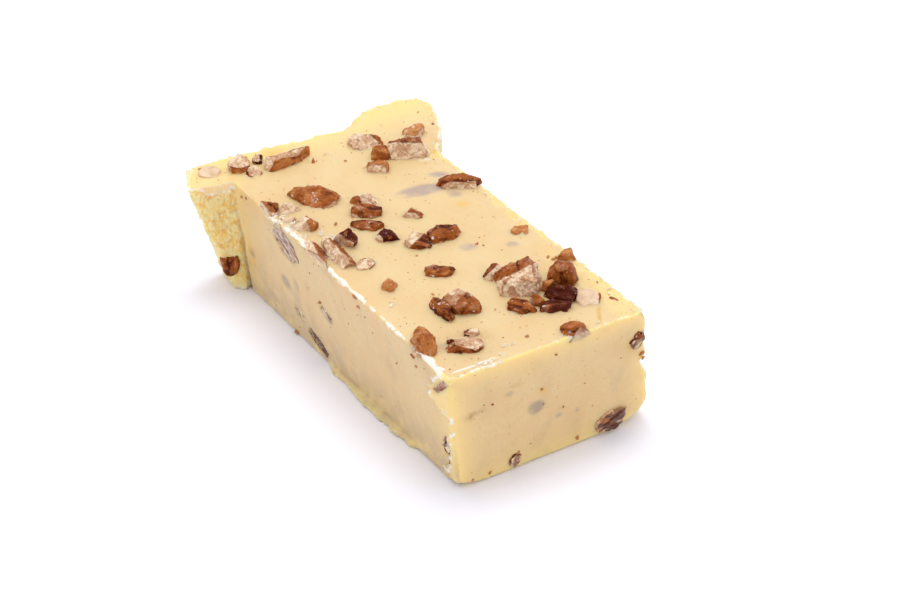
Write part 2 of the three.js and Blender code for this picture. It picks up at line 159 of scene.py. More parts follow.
# Buttery yellow spots
YELLOW_SPOTS = (
    (12.2, 49.7, 28, 1.2, 0.9, 3, -34, 1), (-22.3, 79.1, 9.4, 3, 0.8, 1.3, 0, 0.9),
    (-2.4, 0, 17.4, 0.8, 3, 0.9, 0, 0.8), (-9.6, 88.4, 28, 2.4, 1.6, 4, 0, 0.8),
    (-21.5, 5.6, 7.6, 3, 1, 1, 0, 0.9), (18, -1, 20.2, 1.2, 3, 1, 0, 0.7),
    (-24.8, 84.4, 20.4, 1.3, 1.4, 0.9, 0, 1), (-30.2, 85.2, 24.4, 1.5, 1.4, 1.3, 0, 0.6),
    (-28.2, 84.9, 16.4, 1.6, 1.4, 1.7, 0, 0.5), (-25.6, 84.3, 11.8, 1.4, 1.4, 1.4, 0, 0.45),
    (19.4, 70.2, 28, 1.6, 1, 3, -20, 0.9),
)
# White sugary patches
SUGAR_SPOTS = (
    (-22, 57.6, 28, 1.1, 3.4, 3, 0, 0.9), (-20.8, 62.2, 28, 1.5, 1.5, 3, 0, 0.5),
    (-16.6, 53.8, 28, 2.2, 1, 3, -34, 0.7), (15.6, 68.4, 28, 2.6, 1.2, 3, -20, 0.5),
    (-19.6, 27, 28, 1.6, 0.7, 3, 0, 0.5),
)

# Crumbs at their own places, a row for each face: place along it, height or second place, and size
SET_CRUMBS = (
    ("left", (3.2, 24.4, 2.4), (5.6, 22.4, 2.6), (4.4, 23.4, 2.2), (33.9, 27.2, 3.6), (33.2, 25.2, 2.2),
     (13.2, 25.6, 3.4), (12.2, 23.6, 2.2)),
    ("near", (-19.2, 1.5, 1.6)),
    ("left", (63.5, 0.5, 3), (62.8, 0.9, 2.4), (3.4, 11.6, 3), (2.6, 6.2, 3.4)),
    ("near", (20.6, 17.6, 3.6), (21, 16.2, 3), (5, 2.1, 2.6), (1.2, 25.2, 2.4), (-8.6, 4.2, 2.2),
     (-15.2, 1.8, 2.4), (-13.4, 18.6, 1.8), (-2.4, 17.8, 2)),
    ("top", (16.2, 22.8, 4.4), (15.4, 24, 2.6), (17.4, 5, 3.4), (-3.6, 4.2, 2.6), (-4.6, 80.4, 3.4),
     (1.4, 77.2, 2.2), (-13.2, 57.6, 2.6), (6.4, 35.8, 2.4), (7.2, 34.6, 1.8), (-11.2, 24.4, 2.6),
     (-10.6, 25.8, 2), (-25.6, 91.4, 2.4)),
)
# White flakes at their own places on the top: x, y and size, each a tuft of this many
TUFT = 7
SET_FLAKES = (
    (-22.6, 65.4, 4.2), (-22.2, 64.4, 3.6), (-22.9, 66.2, 3), (-19.4, 26.8, 2.6), (-18.6, 27.4, 2),
    (-18.2, 26.4, 1.6), (-9.2, 3.6, 2.6), (-8.6, 4.2, 2.2), (-8, 3.4, 2.4), (-7.2, 3.8, 1.8),
    (-16.4, 1.8, 3.4), (-15.2, 1.7, 3), (-14, 1.4, 3.2), (-11.2, 2.6, 3), (-10.4, 2.2, 2.4), (2.2, 0.8, 4),
    (3.4, 0.2, 3.2), (-16.8, 45.6, 2.6), (-15.9, 52.9, 2.4), (-7.6, 53.8, 2), (-0.2, 81.8, 3),
    (1, 80.8, 2.2), (10.8, 71.6, 3), (15.8, 69.6, 2.6), (-20.7, 65.9, 3.4), (-20.4, 62.3, 3.6),
    (-21.6, 61.8, 3), (-17.7, 62.9, 3.2), (-21.6, 58.4, 3.6), (-20.9, 57, 3), (-19.9, 57.3, 2.6),
    (-18, 56.1, 3), (-16.9, 53.6, 3.4), (-16.2, 54.4, 2.6), (-15.8, 84.4, 2.6), (-13.6, 84.6, 2.4),
    (20.6, 80.6, 3.4), (21.6, 81.6, 3), (18.6, 80.8, 2.6), (17.4, 70, 3), (18.6, 0.3, 3), (17.2, 0.2, 2.6),
    (18.8, 8.4, 2.4), (18.6, 38, 2.4), (10.4, 0.2, 3),
)
# Flakes on the smeared fold and tries at the broken faces
FOLD_FLAKES = 26
BROKEN_FLAKES = 260
# Shares of the other flakes along the left, near and right top edges, and of those that strayed inwards
FLAKE_SHARES = (0.14, 0.46, 0.4)
STRAY_SHARE = 0.06
# Shares of the other crumbs on the top and in the left and near faces
CRUMB_SHARES = (0.62, 0.22, 0.16)
# The least and the most that a bit measures for its size: length, width and the thickness of each kind
BIT_LENGTH = (0.8, 1.7)
BIT_WIDTH = (0.6, 1.0)
FLAKE_THICKNESS = (0.25, 0.6)
CRUMB_THICKNESS = (0.4, 0.8)

# How far fudge is smeared round the near left upright edge, by height
FOLD_REACH = (
    (0, 2.6), (1, 4.4), (2.6, 4.6), (3.6, 3.2), (5, 2.2), (8, 1.8), (10, 2.2), (12.6, 1.8), (14.4, 0.9),
    (16.2, 1.3), (17.4, 0.5), (18.2, 0.5), (18.6, 3.9), (19.4, 4.8), (19.8, 7.2), (21, 6.8), (24, 5.6),
    (26, 4.4), (28, 2.4),
)
# How low the smooth top hangs over the left ear's broken face, by share of the ear's reach
HOOD_DROP = (
    (0, 1.2), (0.1, 2), (0.35, 3), (0.6, 2.2), (0.74, 0.8), (1, 0.3),
)
# How frayed and white the left top edge is by distance along it, and the near top edge by share across
LEFT_FRAY = (
    (0, 0.4), (2.4, 0.6), (3.2, 0.3), (11, 0.3), (15, 0.5), (17, 0.9), (40, 0.95), (45, 0.9), (47, 0.4),
    (53, 0.5), (55, 1), (60, 1), (67, 0.7), (71, 0.3), (84, 0.2),
)
NEAR_FRAY = (
    (0, 0.35), (0.06, 0.5), (0.12, 0.9), (0.2, 0.7), (0.34, 0.45), (0.46, 0.5), (0.52, 0.8), (0.66, 0.8),
    (0.72, 0.4), (1, 0.5),
)

# The soft lamp overhead: place, width, length and tilt
LAMP_PLACE = (0.06, 0.11, 0.75)
LAMP_SIZE = (0.4, 0.3)
LAMP_TILT = math.radians(4)
# Small lamps that put bright points on the nut skins, and how wide they are
GLINT_LAMPS = {
    "glint_left": (-0.33, 0.05, 0.66), "glint_right": (0.32, -0.2, 0.66), "glint_near": (-0.12, -0.3, 0.68),
    "glint_far": (-0.1, 0.36, 0.66), "glint_high": (0.05, -0.08, 0.76), "glint_side": (0.38, 0.12, 0.6),
}
GLINT_SIZE = 0.035
SKY_COLOUR = (0.965, 0.97, 1.04, 1.0)
# The floor's half width and its lines each way
FLOOR_HALF = 3.0
FLOOR_LINES = 9
# The camera's sensor in millimetres, and the nearest that it sees in metres
SENSOR_WIDTH = 36
CLIP_START = 0.01


def length(name, description, millimetres):
    """A length that a user can change, given in millimetres."""
    return FloatProperty(name=name, description=description, default=millimetres * MM, unit="LENGTH")


def colour(name, description, value):
    """A colour that a user can change."""
    return FloatVectorProperty(
        name=name, description=description, default=value, size=3, subtype="COLOR", min=0, max=1)


class BarSizes(PropertyGroup):
    """Sizes of the bar of fudge."""

    height: length("Height", "From foot to top", 28)
    width: length("Width", "Between the two long cuts", 44.3)
    left_shoulder: length("Left shoulder", "From the near end to the left ear", 83.4)
    right_shoulder: length("Right shoulder", "From the near end to the right ear", 70.4)
    poured_edge: length("Poured edge", "From the near end to the far edge", 93.6)
    lean: length("Lean", "Shift of the top to the left", 3.2)
    left_ear: length("Left ear", "Reach of the left ear", 9.5)
    right_ear: length("Right ear", "Reach of the right ear", 10)
    ear_foot: length("Ear foot", "Reach of the ears' feet", 2.4)
    foot_round: length("Foot round", "Radius of the foot", 0.9)
    corner_round: length("Corner round", "Added to the foot's near right corner", 3.2)
    left_upright: length("Left upright", "Radius of the near left upright edge", 0.9)
    right_upright: length("Right upright", "Radius of the near right upright edge", 1.6)
    top_round: length("Top round", "Radius of the cut edges", 0.4)
    poured_round: length("Poured round", "Added to the top of the far edge", 1.1)
    lip_out: length("Lip reach", "Of the squeezed-out foot", 2.8)
    lip_height: length("Lip height", "Of that foot", 1.6)
    lip_from: length("Lip start", "From the near end", 17)
    lip_to: length("Lip end", "From the near end", 50)
    burr: length("Burr", "Height of the frayed cut edges", 0.45)
    crag: length("Crag", "Depth of the broken faces", 0.55)


class FudgeLook(PropertyGroup):
    """Colours of the fudge."""

    cream: colour("Cream", "Main colour", (0.752, 0.566, 0.287))
    deep: colour("Deep cream", "Darker clouds in it", (0.73, 0.485, 0.215))
    # painted light: the brighter yellow of thin fudge that light shines through
    painted_glow: colour("Glow", "Thin edges that light comes through", (0.90, 0.665, 0.258))
    torn: colour("Torn", "Where it broke", (1.0, 0.80, 0.37))
    # painted shade: the deeper orange of the broken face's hollows
    torn_shade: colour("Torn hollow", "Between the crumbs where it broke", (1.0, 0.68, 0.20))
    # painted shade: the dark of the narrow gap beside the left ear
    crevice_shade: colour("Crevice", "Beside the left ear", (0.30, 0.19, 0.09))
    sugar: colour("Sugar", "Frayed white edges", (0.91, 0.845, 0.72))
    ghost: colour("Ghost", "Pieces just under the top", (0.40, 0.30, 0.275))
    # also the colour of the painted shade low on the left wall
    side_ghost: colour("Side ghost", "Pieces just under the sides", (0.40, 0.30, 0.20))
    yellow: colour("Yellow", "Buttery spots", (0.78, 0.48, 0.10))
    stain: colour("Stain", "Round the pecan pieces", (0.52, 0.29, 0.10))
    speck: colour("Speck", "Brown specks", (0.56, 0.27, 0.085))


class PecanLook(PropertyGroup):
    """Colours of the pecan pieces."""

    dark: colour("Dark skin", "Darkest skin", (0.075, 0.009, 0.002))
    brown: colour("Brown skin", "Usual skin", (0.31, 0.08, 0.013))
    golden: colour("Golden skin", "Lighter skin", (0.46, 0.165, 0.042))
    tan: colour("Tan skin", "Lightest skin", (0.62, 0.29, 0.11))
    flesh: colour("Flesh", "Broken faces", (0.86, 0.67, 0.455))
    pink: colour("Pink flesh", "Shades in the flesh", (0.60, 0.355, 0.205))
    grey: colour("Grey flesh", "Faces that the knife smeared", (0.54, 0.43, 0.37))
    film: colour("Film", "Fudge smeared over them", (0.88, 0.70, 0.42))
    # painted highlights as well as sugar on the skin
    grain: colour("Grains", "Bright sugar grains on the skin", (0.93, 0.88, 0.84))


class CrumbSizes(PropertyGroup):
    """Numbers and sizes of the loose bits."""

    flakes: IntProperty(name="Flakes", description="White flakes along the cut edges", default=170, min=1)
    flake_size: length("Flake size", "Of a usual flake", 0.2)
    crumbs: IntProperty(name="Crumbs", description="Nut crumbs on the faces", default=150, min=1)
    crumb_size: length("Crumb size", "Of a usual crumb", 0.18)


class StageLook(PropertyGroup):
    """Floor, light and camera."""

    floor: colour("Floor", "Colour of the floor", (0.925, 0.93, 0.985))
    sky: FloatProperty(name="Sky", description="Strength of the light from all round", default=0.91, min=0)
    lamp: FloatProperty(name="Lamp", description="Power of the soft light", default=2.05, unit="POWER")
    glint: FloatProperty(name="Glint", description="Power of each small lamp", default=0.075, unit="POWER")
    lens: FloatProperty(name="Lens", description="Focal length in millimetres", default=100.0, min=1)
    turn: FloatProperty(
        name="Turn", description="Bearing of the camera", default=math.radians(-33.75), subtype="ANGLE")
    rise: FloatProperty(
        name="Rise", description="Height of the camera", default=math.radians(34.65), subtype="ANGLE")
    distance: length("Distance", "From the camera to its target", 507.1)
    target: FloatVectorProperty(
        name="Target", description="What the camera points at", default=(0.00314, -0.00682, 0.014),
        subtype="TRANSLATION", unit="LENGTH")


class Shade:
    """A value in a material: one output socket, on which arithmetic adds Math nodes."""

    def __init__(self, finish, socket):
        self.finish = finish
        self.socket = socket

    def math(self, operation, first, second):
        return self.finish.node("ShaderNodeMath", {"operation": operation}, {0: first, 1: second})

    def __add__(self, other):
        return self.math("ADD", self, other)

    def __radd__(self, other):
        return self.math("ADD", other, self)

    def __sub__(self, other):
        return self.math("SUBTRACT", self, other)

    def __rsub__(self, other):
        return self.math("SUBTRACT", other, self)

    def __mul__(self, other):
        return self.math("MULTIPLY", self, other)

    def __rmul__(self, other):
        return self.math("MULTIPLY", other, self)

    def sway(self, amount):
        """What runs from 0 to 1 as a swing about 0."""
        return (self - 0.5) * amount

    def band(self, low, high):
        """0 below low, 1 above high and eased between them."""
        return self.finish.node(
            "ShaderNodeMapRange", {"interpolation_type": "SMOOTHSTEP"},
            {"Value": self, "From Min": low, "From Max": high})


class Finish:
    """A material that is made node by node."""

    def __init__(self, name):
        self.material = bpy.data.materials.new(name)
        self.material.use_nodes = True
        self.tree = self.material.node_tree
        self.tree.nodes.clear()
        self.place = self.node("ShaderNodeTexCoord", out="Object")

    def node(self, kind, settings=None, sockets=None, out=0):
        """A node of a kind, with its settings and the values or links of its sockets. Gives one output."""
        made = self.tree.nodes.new(kind)
        for key, value in (settings or {}).items():
            setattr(made, key, value)
        for key, value in (sockets or {}).items():
            socket = made.inputs[key]
            if isinstance(value, Shade):
                self.tree.links.new(value.socket, socket)
            elif socket.type == "RGBA" and len(value) == 3:
                socket.default_value = (*value, 1.0)
            else:
                socket.default_value = value
        return Shade(self, made.outputs[out]) if made.outputs else made

    def attributes(self, *names, out="Fac"):
        """What a piece's own attributes hold."""
        return [self.node("ShaderNodeAttribute", {"attribute_name": name}, out=out) for name in names]

    def noise(self, scale, detail=2.0, roughness=0.5, vector=None, stretch=None):
        """Soft clouds from 0 to 1 on a vector, by default the place in the frame, with its axes scaled."""
        vector = vector or self.place
        if stretch:
            vector = self.node("ShaderNodeMapping", None, {"Vector": vector, "Scale": stretch})
        sockets = {"Vector": vector, "Scale": scale, "Detail": detail, "Roughness": roughness}
        return self.node("ShaderNodeTexNoise", None, sockets)

    def paint(self, colour, *layers):
        """A colour with others laid over it in turn, each by its weight."""
        for weight, tint in layers:
            sockets = {0: weight, 6: colour, 7: tint}
            colour = self.node("ShaderNodeMix", {"data_type": "RGBA"}, sockets, out=2)
        return colour

    def specks(self, scale, size, share):
        """Round specks in some of the cells of a grid of random points."""
        cells = {"Vector": self.place, "Scale": scale}
        distance = self.node("ShaderNodeTexVoronoi", None, cells, out="Distance")
        chance = self.node("ShaderNodeTexVoronoi", None, cells, out="Color")
        pick = self.node("ShaderNodeSeparateColor", None, {"Color": chance}, out="Red")
        return (1 - distance.band(size * 0.6, size)) * pick.band(1 - share, 1 - share + 0.01)

    def surface(self, sockets, height=None, strength=0.5, distance=0.0001):
        """Ends the material in a Principled shader, bumped by a height where one is given."""
        if height:
            bump = {"Strength": strength, "Distance": distance, "Height": height}
            sockets["Normal"] = self.node("ShaderNodeBump", None, bump)
        shader = self.node("ShaderNodeBsdfPrincipled", None, sockets)
        self.node("ShaderNodeOutputMaterial", None, {"Surface": shader})
        return self.material


def smooth(low, high, value):
    """0 below low, 1 above high and eased between them."""
    t = np.clip((value - low) / (high - low), 0, 1)
    return t * t * (3 - 2 * t)


def bell(distance, breadth):
    """1 where a distance is 0, falling to 0 past a breadth."""
    return np.exp(-(distance / breadth) ** 2)


def by_table(value, rows):
    """What a table of pairs gives for a value, straight between its rows."""
    return np.interp(value, *np.transpose(rows))


def unit(vectors):
    """Vectors brought to length 1."""
    return vectors / np.linalg.norm(vectors, axis=-1, keepdims=True)


def waves(points, size, seed, count=10):
    """Smooth random relief about 0: sines of roughly one wavelength that run in random ways, added up."""
    rng = np.random.default_rng(seed)
    ways = unit(rng.normal(size=(count, points.shape[-1])))
    ways *= 2 * np.pi / size * rng.uniform(0.6, 1.6, (count, 1))
    return np.sin(points @ ways.T + rng.uniform(0, 2 * np.pi, count)).sum(-1) * math.sqrt(2 / count) * 0.5


def scrambled(cell, seed):
    """Random numbers from 0 to 1 for the cells of a lattice: its whole numbers are multiplied and folded."""
    key = cell @ np.array([73856093, 19349663, 83492791]) + seed * 2654435
    folds = []
    for factor in (1274126177, 668265263, 374761393, 2246822519):
        mixed = ((key ^ (key >> 13)) * factor) & 0x7FFFFFFF
        mixed = ((mixed ^ (mixed >> 15)) * 2246822519) & 0x7FFFFFFF
        folds.append(mixed / 0x7FFFFFFF)
    return np.stack(folds, -1)


def chips(points, size, seed):
    """Angular relief about 0, as on a broken face.

    Space is split among random points, one in each cell of a lattice, by which is nearest. Each share is a
    flat of its own level and tilt.
    """
    scaled = points / size
    base = np.floor(scaled).astype(np.int64)
    nearest = np.full(len(points), 9.0)
    relief = np.zeros(len(points))
    for step in np.ndindex(3, 3, 3):
        cell = base + np.array(step) - 1
        chance = scrambled(cell, seed)
        offset = scaled - cell - chance[:, :3]
        gap = np.linalg.norm(offset, axis=1)
        tilt = scrambled(cell, seed + 17)[:, :3] - 0.5
        flat = 0.9 * (chance[:, 3] - 0.5) + 1.6 * (offset * tilt).sum(1)
        relief = np.where(gap < nearest, flat, relief)
        nearest = np.minimum(gap, nearest)
    return relief


def layered(points, *layers):
    """Layers of relief added up, each a kind, its size in millimetres, its seed and its height."""
    return sum(height * kind(points, size, seed) for kind, size, seed, height in layers)


# The crumb of the broken faces, in layers
CRUMB = ((chips, 2.4, 8, 0.65), (chips, 1.1, 9, 0.65), (chips, 0.6, 12, 0.35))
# The bar's relief by zone: how far the zone is raised, then its layers
BAR_RELIEF = {
    "top": (0, (waves, 19, 1, 0.09), (waves, 3, 3, 0.03)),
    "wall": (0, (waves, 19, 1, 0.09), (waves, 4.5, 2, 0.035)),
    "folded": (0.3,),
    "torn_rim": (0.16, (chips, 0.9, 19, 0.16)),
    "strip": (0.2, (waves, 1.8, 26, 0.03), (chips, 0.8, 29, 0.02)),
    "line": (0.12,),
    "dent": (-1.2,),
    "right_edge": (0, (waves, 5, 18, 0.35), (chips, 1.2, 18, 0.15)),
    "open_crevice": (-0.9,),
    "chipped": (-0.3, (chips, 1.0, 21, -0.35)),
    "crust": (0, (chips, 2.3, 22, 0.22), (chips, 0.9, 23, 0.08)),
    "poured": (0, (waves, 6, 33, 0.14), (chips, 2.6, 34, 0.07)),
    "ear_rim": (0, (chips, 2.2, 35, 0.45), (chips, 0.8, 36, 0.22)),
    "foot_lip": (0, (chips, 1.4, 38, 0.22), (chips, 0.7, 39, 0.14)),
}
# White sugar by zone: weight, size and seed of its chips, and the two levels between which it sets in
ZONE_SUGAR = {
    "torn_rim": (1.1, 1.6, 13, -0.5, 0.2),
    "drip_edge": (1.2, 1.1, 16, -0.4, 0.2),
    "ear_rim": (0.4, 1.3, 37, -0.1, 0.3),
    "crust": (0.22, 2.3, 22, -0.2, 0.2),
    "foot_lip": (0.4, 1.1, 43, 0.0, 0.4),
}


def box_grid(cells, closed=True):
    """The skin of a unit box as welded quads: shares (u, v, w) of its corners, the quads and the foot's rim.

    Left open, it has no face at w = 0, and the rim is the loop of corners round that opening, facing down.
    """
    size = np.array(cells)
    sides = []
    for axis in range(3):
        a = (axis + 1) % 3
        b = (axis + 2) % 3
        p, q = np.meshgrid(np.arange(size[a]), np.arange(size[b]), indexing="ij")
        corners = np.zeros((p.size, 4, 3), int)
        corners[:, :, a] = p.reshape(-1, 1) + np.array([0, 1, 1, 0])
        corners[:, :, b] = q.reshape(-1, 1) + np.array([0, 0, 1, 1])
        far = corners.copy()
        far[:, :, axis] = size[axis]
        sides.append(far)
        if closed or axis < 2:
            sides.append(corners[:, ::-1])
    lattice = np.concatenate(sides).reshape(-1, 3)
    strides = np.array([1, size[0] + 1, (size[0] + 1) * (size[1] + 1)])
    codes, first, back = np.unique(lattice @ strides, return_index=True, return_inverse=True)
    across = np.arange(size[0])
    along = np.arange(size[1]) * strides[1]
    end = size[1] * strides[1]
    loop = np.concatenate([along, across + end, size[0] + end - along, size[0] - across])
    rim = np.searchsorted(codes, loop) if not closed else None
    return lattice[first] / size, back.reshape(-1, 4), rim


def outward(points, quads):
    """The normal at each corner: the crossed diagonals of the quads round it, added up."""
    a, b, c, d = (points[quads[:, i]] for i in range(4))
    crossed = np.cross(c - a, d - b)
    total = np.stack([
        np.bincount(quads.ravel(), np.repeat(crossed[:, i], 4), len(points)) for i in range(3)], -1)
    return total / np.maximum(np.linalg.norm(total, axis=1, keepdims=True), 1e-12)


def crowded(share, crowds):
    """Even shares moved closer round some places: a density with bells, summed and read backwards."""
    line = np.linspace(0, 1, 2001)
    density = 1 + sum(more * bell(line - place, breadth) for place, breadth, more in crowds)
    total = np.concatenate([[0], np.cumsum(density[1:] + density[:-1])])
    return np.interp(share, total / total[-1], line)


def edge_line(corners, share):
    """Points on an edge of the bar: straight between corners, averaged a little to ease them."""
    knots = np.array(corners, float)
    ease = np.minimum(CORNER_EASE, np.minimum(share, 1 - share))
    tries = share[:, None] + ease[:, None] * np.array([-1, -0.5, 0, 0.5, 1])
    return np.stack([np.interp(tries, knots[:, 2], knots[:, axis]).mean(1) for axis in range(2)], -1)


def bar_rims(bar):
    """The edges of the top and of the foot, by corners (x, y, share of the way), as in the part's source."""
    left = -bar.width / 2 - bar.lean / 2
    right = bar.width / 2 - bar.lean / 2
    far = bar.poured_edge
    far_left = left - bar.left_ear + 4.9
    far_right = right + bar.right_ear - 1.9
    top = {
        "left": [(left, 0.6, 0), (left + 1.5, bar.left_shoulder, 0.8),
                 (left - bar.left_ear + 1.5, 85.6, 0.9), (far_left, far, 1)],
        "right": [(right, -1.6, 0), (right - 0.7, bar.right_shoulder, 0.7),
                  (right + bar.right_ear / 2, 77.4, 0.78), (right + bar.right_ear - 0.6, 87.6, 0.92),
                  (far_right, 91.9, 1)],
        "back": [(far_left, far, 0), (-9, 91.8, 0.34), (-3, 89.9, 0.45), (1.6, 90.6, 0.52),
                 (7.4, 88.4, 0.61), (13.8, 92.3, 0.72), (20, 93.7, 0.84), (far_right, 91.9, 1)],
    }
    left = left + bar.lean
    right = right + bar.lean
    far_left = left - bar.ear_foot + 1.5
    far_right = right + bar.ear_foot - 0.6
    foot = {
        "left": [(left, 1.5, 0), (left + 1, bar.left_shoulder - 0.4, 0.8),
                 (left - bar.ear_foot + 0.6, 85.5, 0.9), (far_left, far - 2, 1)],
        "right": [(right, 0.2, 0), (right - 1, bar.right_shoulder, 0.7),
                  (right + bar.ear_foot / 2, 77, 0.78), (right + bar.ear_foot, 85, 0.92),
                  (far_right, 90, 1)],
        "back": [(far_left, far - 2, 0), (-9, 89.6, 0.34), (-1.6, 87.6, 0.46), (7.4, 86.7, 0.6),
                 (13.8, 90.2, 0.72), (20, 91.4, 0.84), (far_right, 90, 1)],
    }
    for rim in (top, foot):
        rim["front"] = [(*rim["left"][0][:2], 0), (*rim["right"][0][:2], 1)]
    return top, foot


def face_between(rim, u, v):
    """A face stretched between its four edges: the two ruled faces less the flat one through the corners."""
    front, back = (edge_line(rim[edge], u) for edge in ("front", "back"))
    left, right = (edge_line(rim[edge], v) for edge in ("left", "right"))
    u = u[:, None]
    v = v[:, None]
    a, b, c, d = (np.array(rim[edge][end][:2]) for edge in ("front", "back") for end in (0, -1))
    flat = (1 - v) * ((1 - u) * a + u * b) + v * ((1 - u) * c + u * d)
    return (1 - v) * front + v * back + (1 - u) * left + u * right - flat


def rounded_corner(a, b, radius):
    """Distances from the two walls at an upright edge, changed so that the edge becomes a quarter round.

    Inside the corner each L of equal distance from the walls is laid along the arc of that distance.
    """
    inside = (a < radius) & (b < radius)
    step = np.minimum(a, b)
    reach = np.maximum(radius - step, 1e-6)
    angle = np.where(a <= b, radius - b, reach + a - step) / reach * np.pi / 4
    return (np.where(inside, radius - reach * np.cos(angle), a),
            np.where(inside, radius - reach * np.sin(angle), b))


def bar_form(bar, uvw):
    """Where shares (u, v, w) of a unit box lie on the plain bar, and how far its squeezed-out foot swells.

    The height follows w, crowded to foot and top. The plan is mixed by height from the foot's face to the
    top's, drawn in by a quarter round at both. A foot of squeezed-out fudge pushes the left side out.
    """
    u, v, w = (crowded(uvw[:, axis], crowds) for axis, crowds in enumerate(CROWDS))
    wide, long = bar.width, bar.poured_edge
    z = bar.height * w
    near_foot = 1 - smooth(0, FOOT_REACH, z)
    a, b = rounded_corner(u * wide, v * long, (1 + 0.8 * near_foot) * bar.left_upright)
    u, v = a / wide, b / long
    a, b = rounded_corner((1 - u) * wide, v * long, (1 + near_foot) * bar.right_upright)
    u, v = 1 - a / wide, b / long
    corner = bell(v, 0.05) * (bell(1 - u, 0.12) + 0.5 * bell(u, 0.08))
    low_round = bar.foot_round + bar.corner_round * corner
    top_round = bar.top_round + bar.poured_round * smooth(0.93, 1.0, v)
    below = np.maximum(0, low_round - z)
    above = np.maximum(0, z - bar.height + top_round)
    inset = low_round - np.sqrt(low_round ** 2 - below ** 2)
    inset += top_round - np.sqrt(np.maximum(top_round ** 2 - above ** 2, 0))
    in_u = inset / wide + u * (1 - 2 * inset / wide)
    in_v = inset / long + v * (1 - 2 * inset / long)
    top, foot = bar_rims(bar)
    share = (z / bar.height)[:, None]
    plan = (1 - share) * face_between(foot, in_u, in_v) + share * face_between(top, in_u, in_v)
    points = np.column_stack([plan, z])
    reach = np.clip((plan[:, 1] - bar.lip_from) / (bar.lip_to - bar.lip_from), 0, 1)
    ragged = 0.62 + layered(points * (1, 1, 0), (waves, 6, 5, 0.25), (chips, 1.5, 6, 0.16))
    bead = np.sqrt(np.maximum(0, 1 - (z / (bar.lip_height * (0.75 + 0.4 * ragged))) ** 2))
    swell = np.sin(np.pi * reach) ** 0.3 * bead * (uvw[:, 0] == 0)
    points[:, 0] -= bar.lip_out * swell * ragged
    return points, swell


def ear_lip(bar, points):
    """How the rim over the left ear's broken face is rounded off.

    Points are moved in and down by a bell curve of their distance from the straight rim.
    """
    top, _ = bar_rims(bar)
    start, end = (np.array([*top["left"][i][:2], bar.height]) for i in (1, 2))
    along = end - start
    share = np.clip((points - start) @ along / (along @ along), 0, 1)
    gap = np.linalg.norm(points - start - share[:, None] * along, axis=1)
    inward = unit(np.array([along[1], -along[0], -np.hypot(*along[:2])]))
    return (0.8 * smooth(0.02, 0.3, share) * bell(gap, 1.3))[:, None] * inward


def cut_edges(bar, uvw, points):
    """The cut edges with the distance to each and how frayed it is, the cut shares of the sides and borders.

    A distance to an edge is the distance along the one face plus the distance along the other.
    """
    from_left, from_near = (
        crowded(uvw[:, axis], CROWDS[axis]) * span for axis, span in enumerate((bar.width, bar.poured_edge)))
    from_right = bar.width - from_left
    from_top = bar.height - points[:, 2]
    y = points[:, 1]
    left_cut = 1 - smooth(bar.left_shoulder - 1.5, bar.left_shoulder, y)
    tear = y + layered(points, (chips, 2.0, 44, 1), (chips, 0.9, 45, 0.6))
    right_cut = 1 - smooth(bar.right_shoulder - 1.2, bar.right_shoulder - 0.6, tear)
    edges = {
        "left": (1.3 * from_left + 0.38 * from_top, left_cut * by_table(y, LEFT_FRAY)),
        "near": (from_near + from_top, by_table(from_left / bar.width, NEAR_FRAY)),
        "right": (from_right + from_top, right_cut * 0.75),
        "corner": (from_left + from_near, 0.42),
        "far_corner": (from_right + from_near, 0.3),
    }
    near_border = np.minimum(np.minimum(from_left, from_right), from_top)
    side_border = np.minimum(from_near, np.abs(bar.left_shoulder - y))
    border = np.minimum(points[:, 2], np.where(uvw[:, 1] == 0, near_border, side_border))
    return edges, left_cut, right_cut, np.maximum(border, 0)


def face_zones(bar, uvw, points, left_cut, right_cut):
    """Each point's share in the broken faces, the cut ones and the smooth top that hangs over the ear."""
    on_left, on_right, on_far = (uvw[:, axis] == end for axis, end in ((0, 0), (0, 1), (1, 1)))
    broken = np.maximum(on_left * (1 - left_cut), 0.9 * on_right * (1 - right_cut))
    broken = np.maximum(broken, 0.3 * on_far)
    wall = np.maximum(np.maximum(on_left * left_cut, on_right * right_cut), uvw[:, 1] == 0)
    out_along = (-bar.width / 2 - points[:, 0]) / bar.left_ear
    drip = by_table(out_along, HOOD_DROP) + 0.35 * waves(points * (1, 1, 0), 5, 19)
    drip += 0.5 * chips(points, 1.1, 20)
    hang = drip - (bar.height - points[:, 2])
    on_ear = smooth(0.5, 0.7, broken)
    hood = smooth(-0.2, 0.2, hang) * on_ear
    drip_edge = bell(hang, 0.42) * on_ear
    return {"broken": broken * (1 - hood), "wall": wall, "hood": hood, "drip_edge": drip_edge}


def corner_zones(points, edges, on_left, top):
    """What the knife left at the near left corner: the smeared fold, its torn rim, a strip and a line."""
    corner = edges["corner"][0]
    behind = edges["near"][0]
    aside = corner - behind
    level = points[:, 2]
    fold = by_table(level, FOLD_REACH)
    fold += 0.6 * chips(points * (0.3, 0.3, 1.0), 1.2, 14) + 0.5 * chips(points, 0.9, 15)
    slope = by_table(level + 0.4, FOLD_REACH) - by_table(level - 0.4, FOLD_REACH)
    gap = (fold - corner) / np.hypot(1, slope / 0.8)
    inner = layered(points, (waves, 1.8, 26, 0.3), (chips, 0.8, 29, 0.2))
    strip = smooth(2.2, 3.4, behind + 0.5 * waves(points, 1.5, 28)) * (1 - smooth(9.4, 10.6, behind))
    on_top = top * smooth(-0.25, 0.25, 0.62 + inner - aside)
    line = bell(behind - 1.25 + 0.2 * waves(points, 3, 25), 0.3) * top
    return {
        "folded": smooth(-0.12, 0.12, gap) * smooth(0.0, 0.8, corner) * on_left,
        "torn_rim": bell(gap - 0.25 + 0.25 * waves(points, 0.9, 27), 0.62) * on_left,
        "strip": strip * np.where(on_left, bell(edges["left"][0], 0.25), on_top),
        "line": line * smooth(0.8, 2, aside) * (1 - smooth(9, 15, aside + 2 * waves(points, 2, 30))),
    }


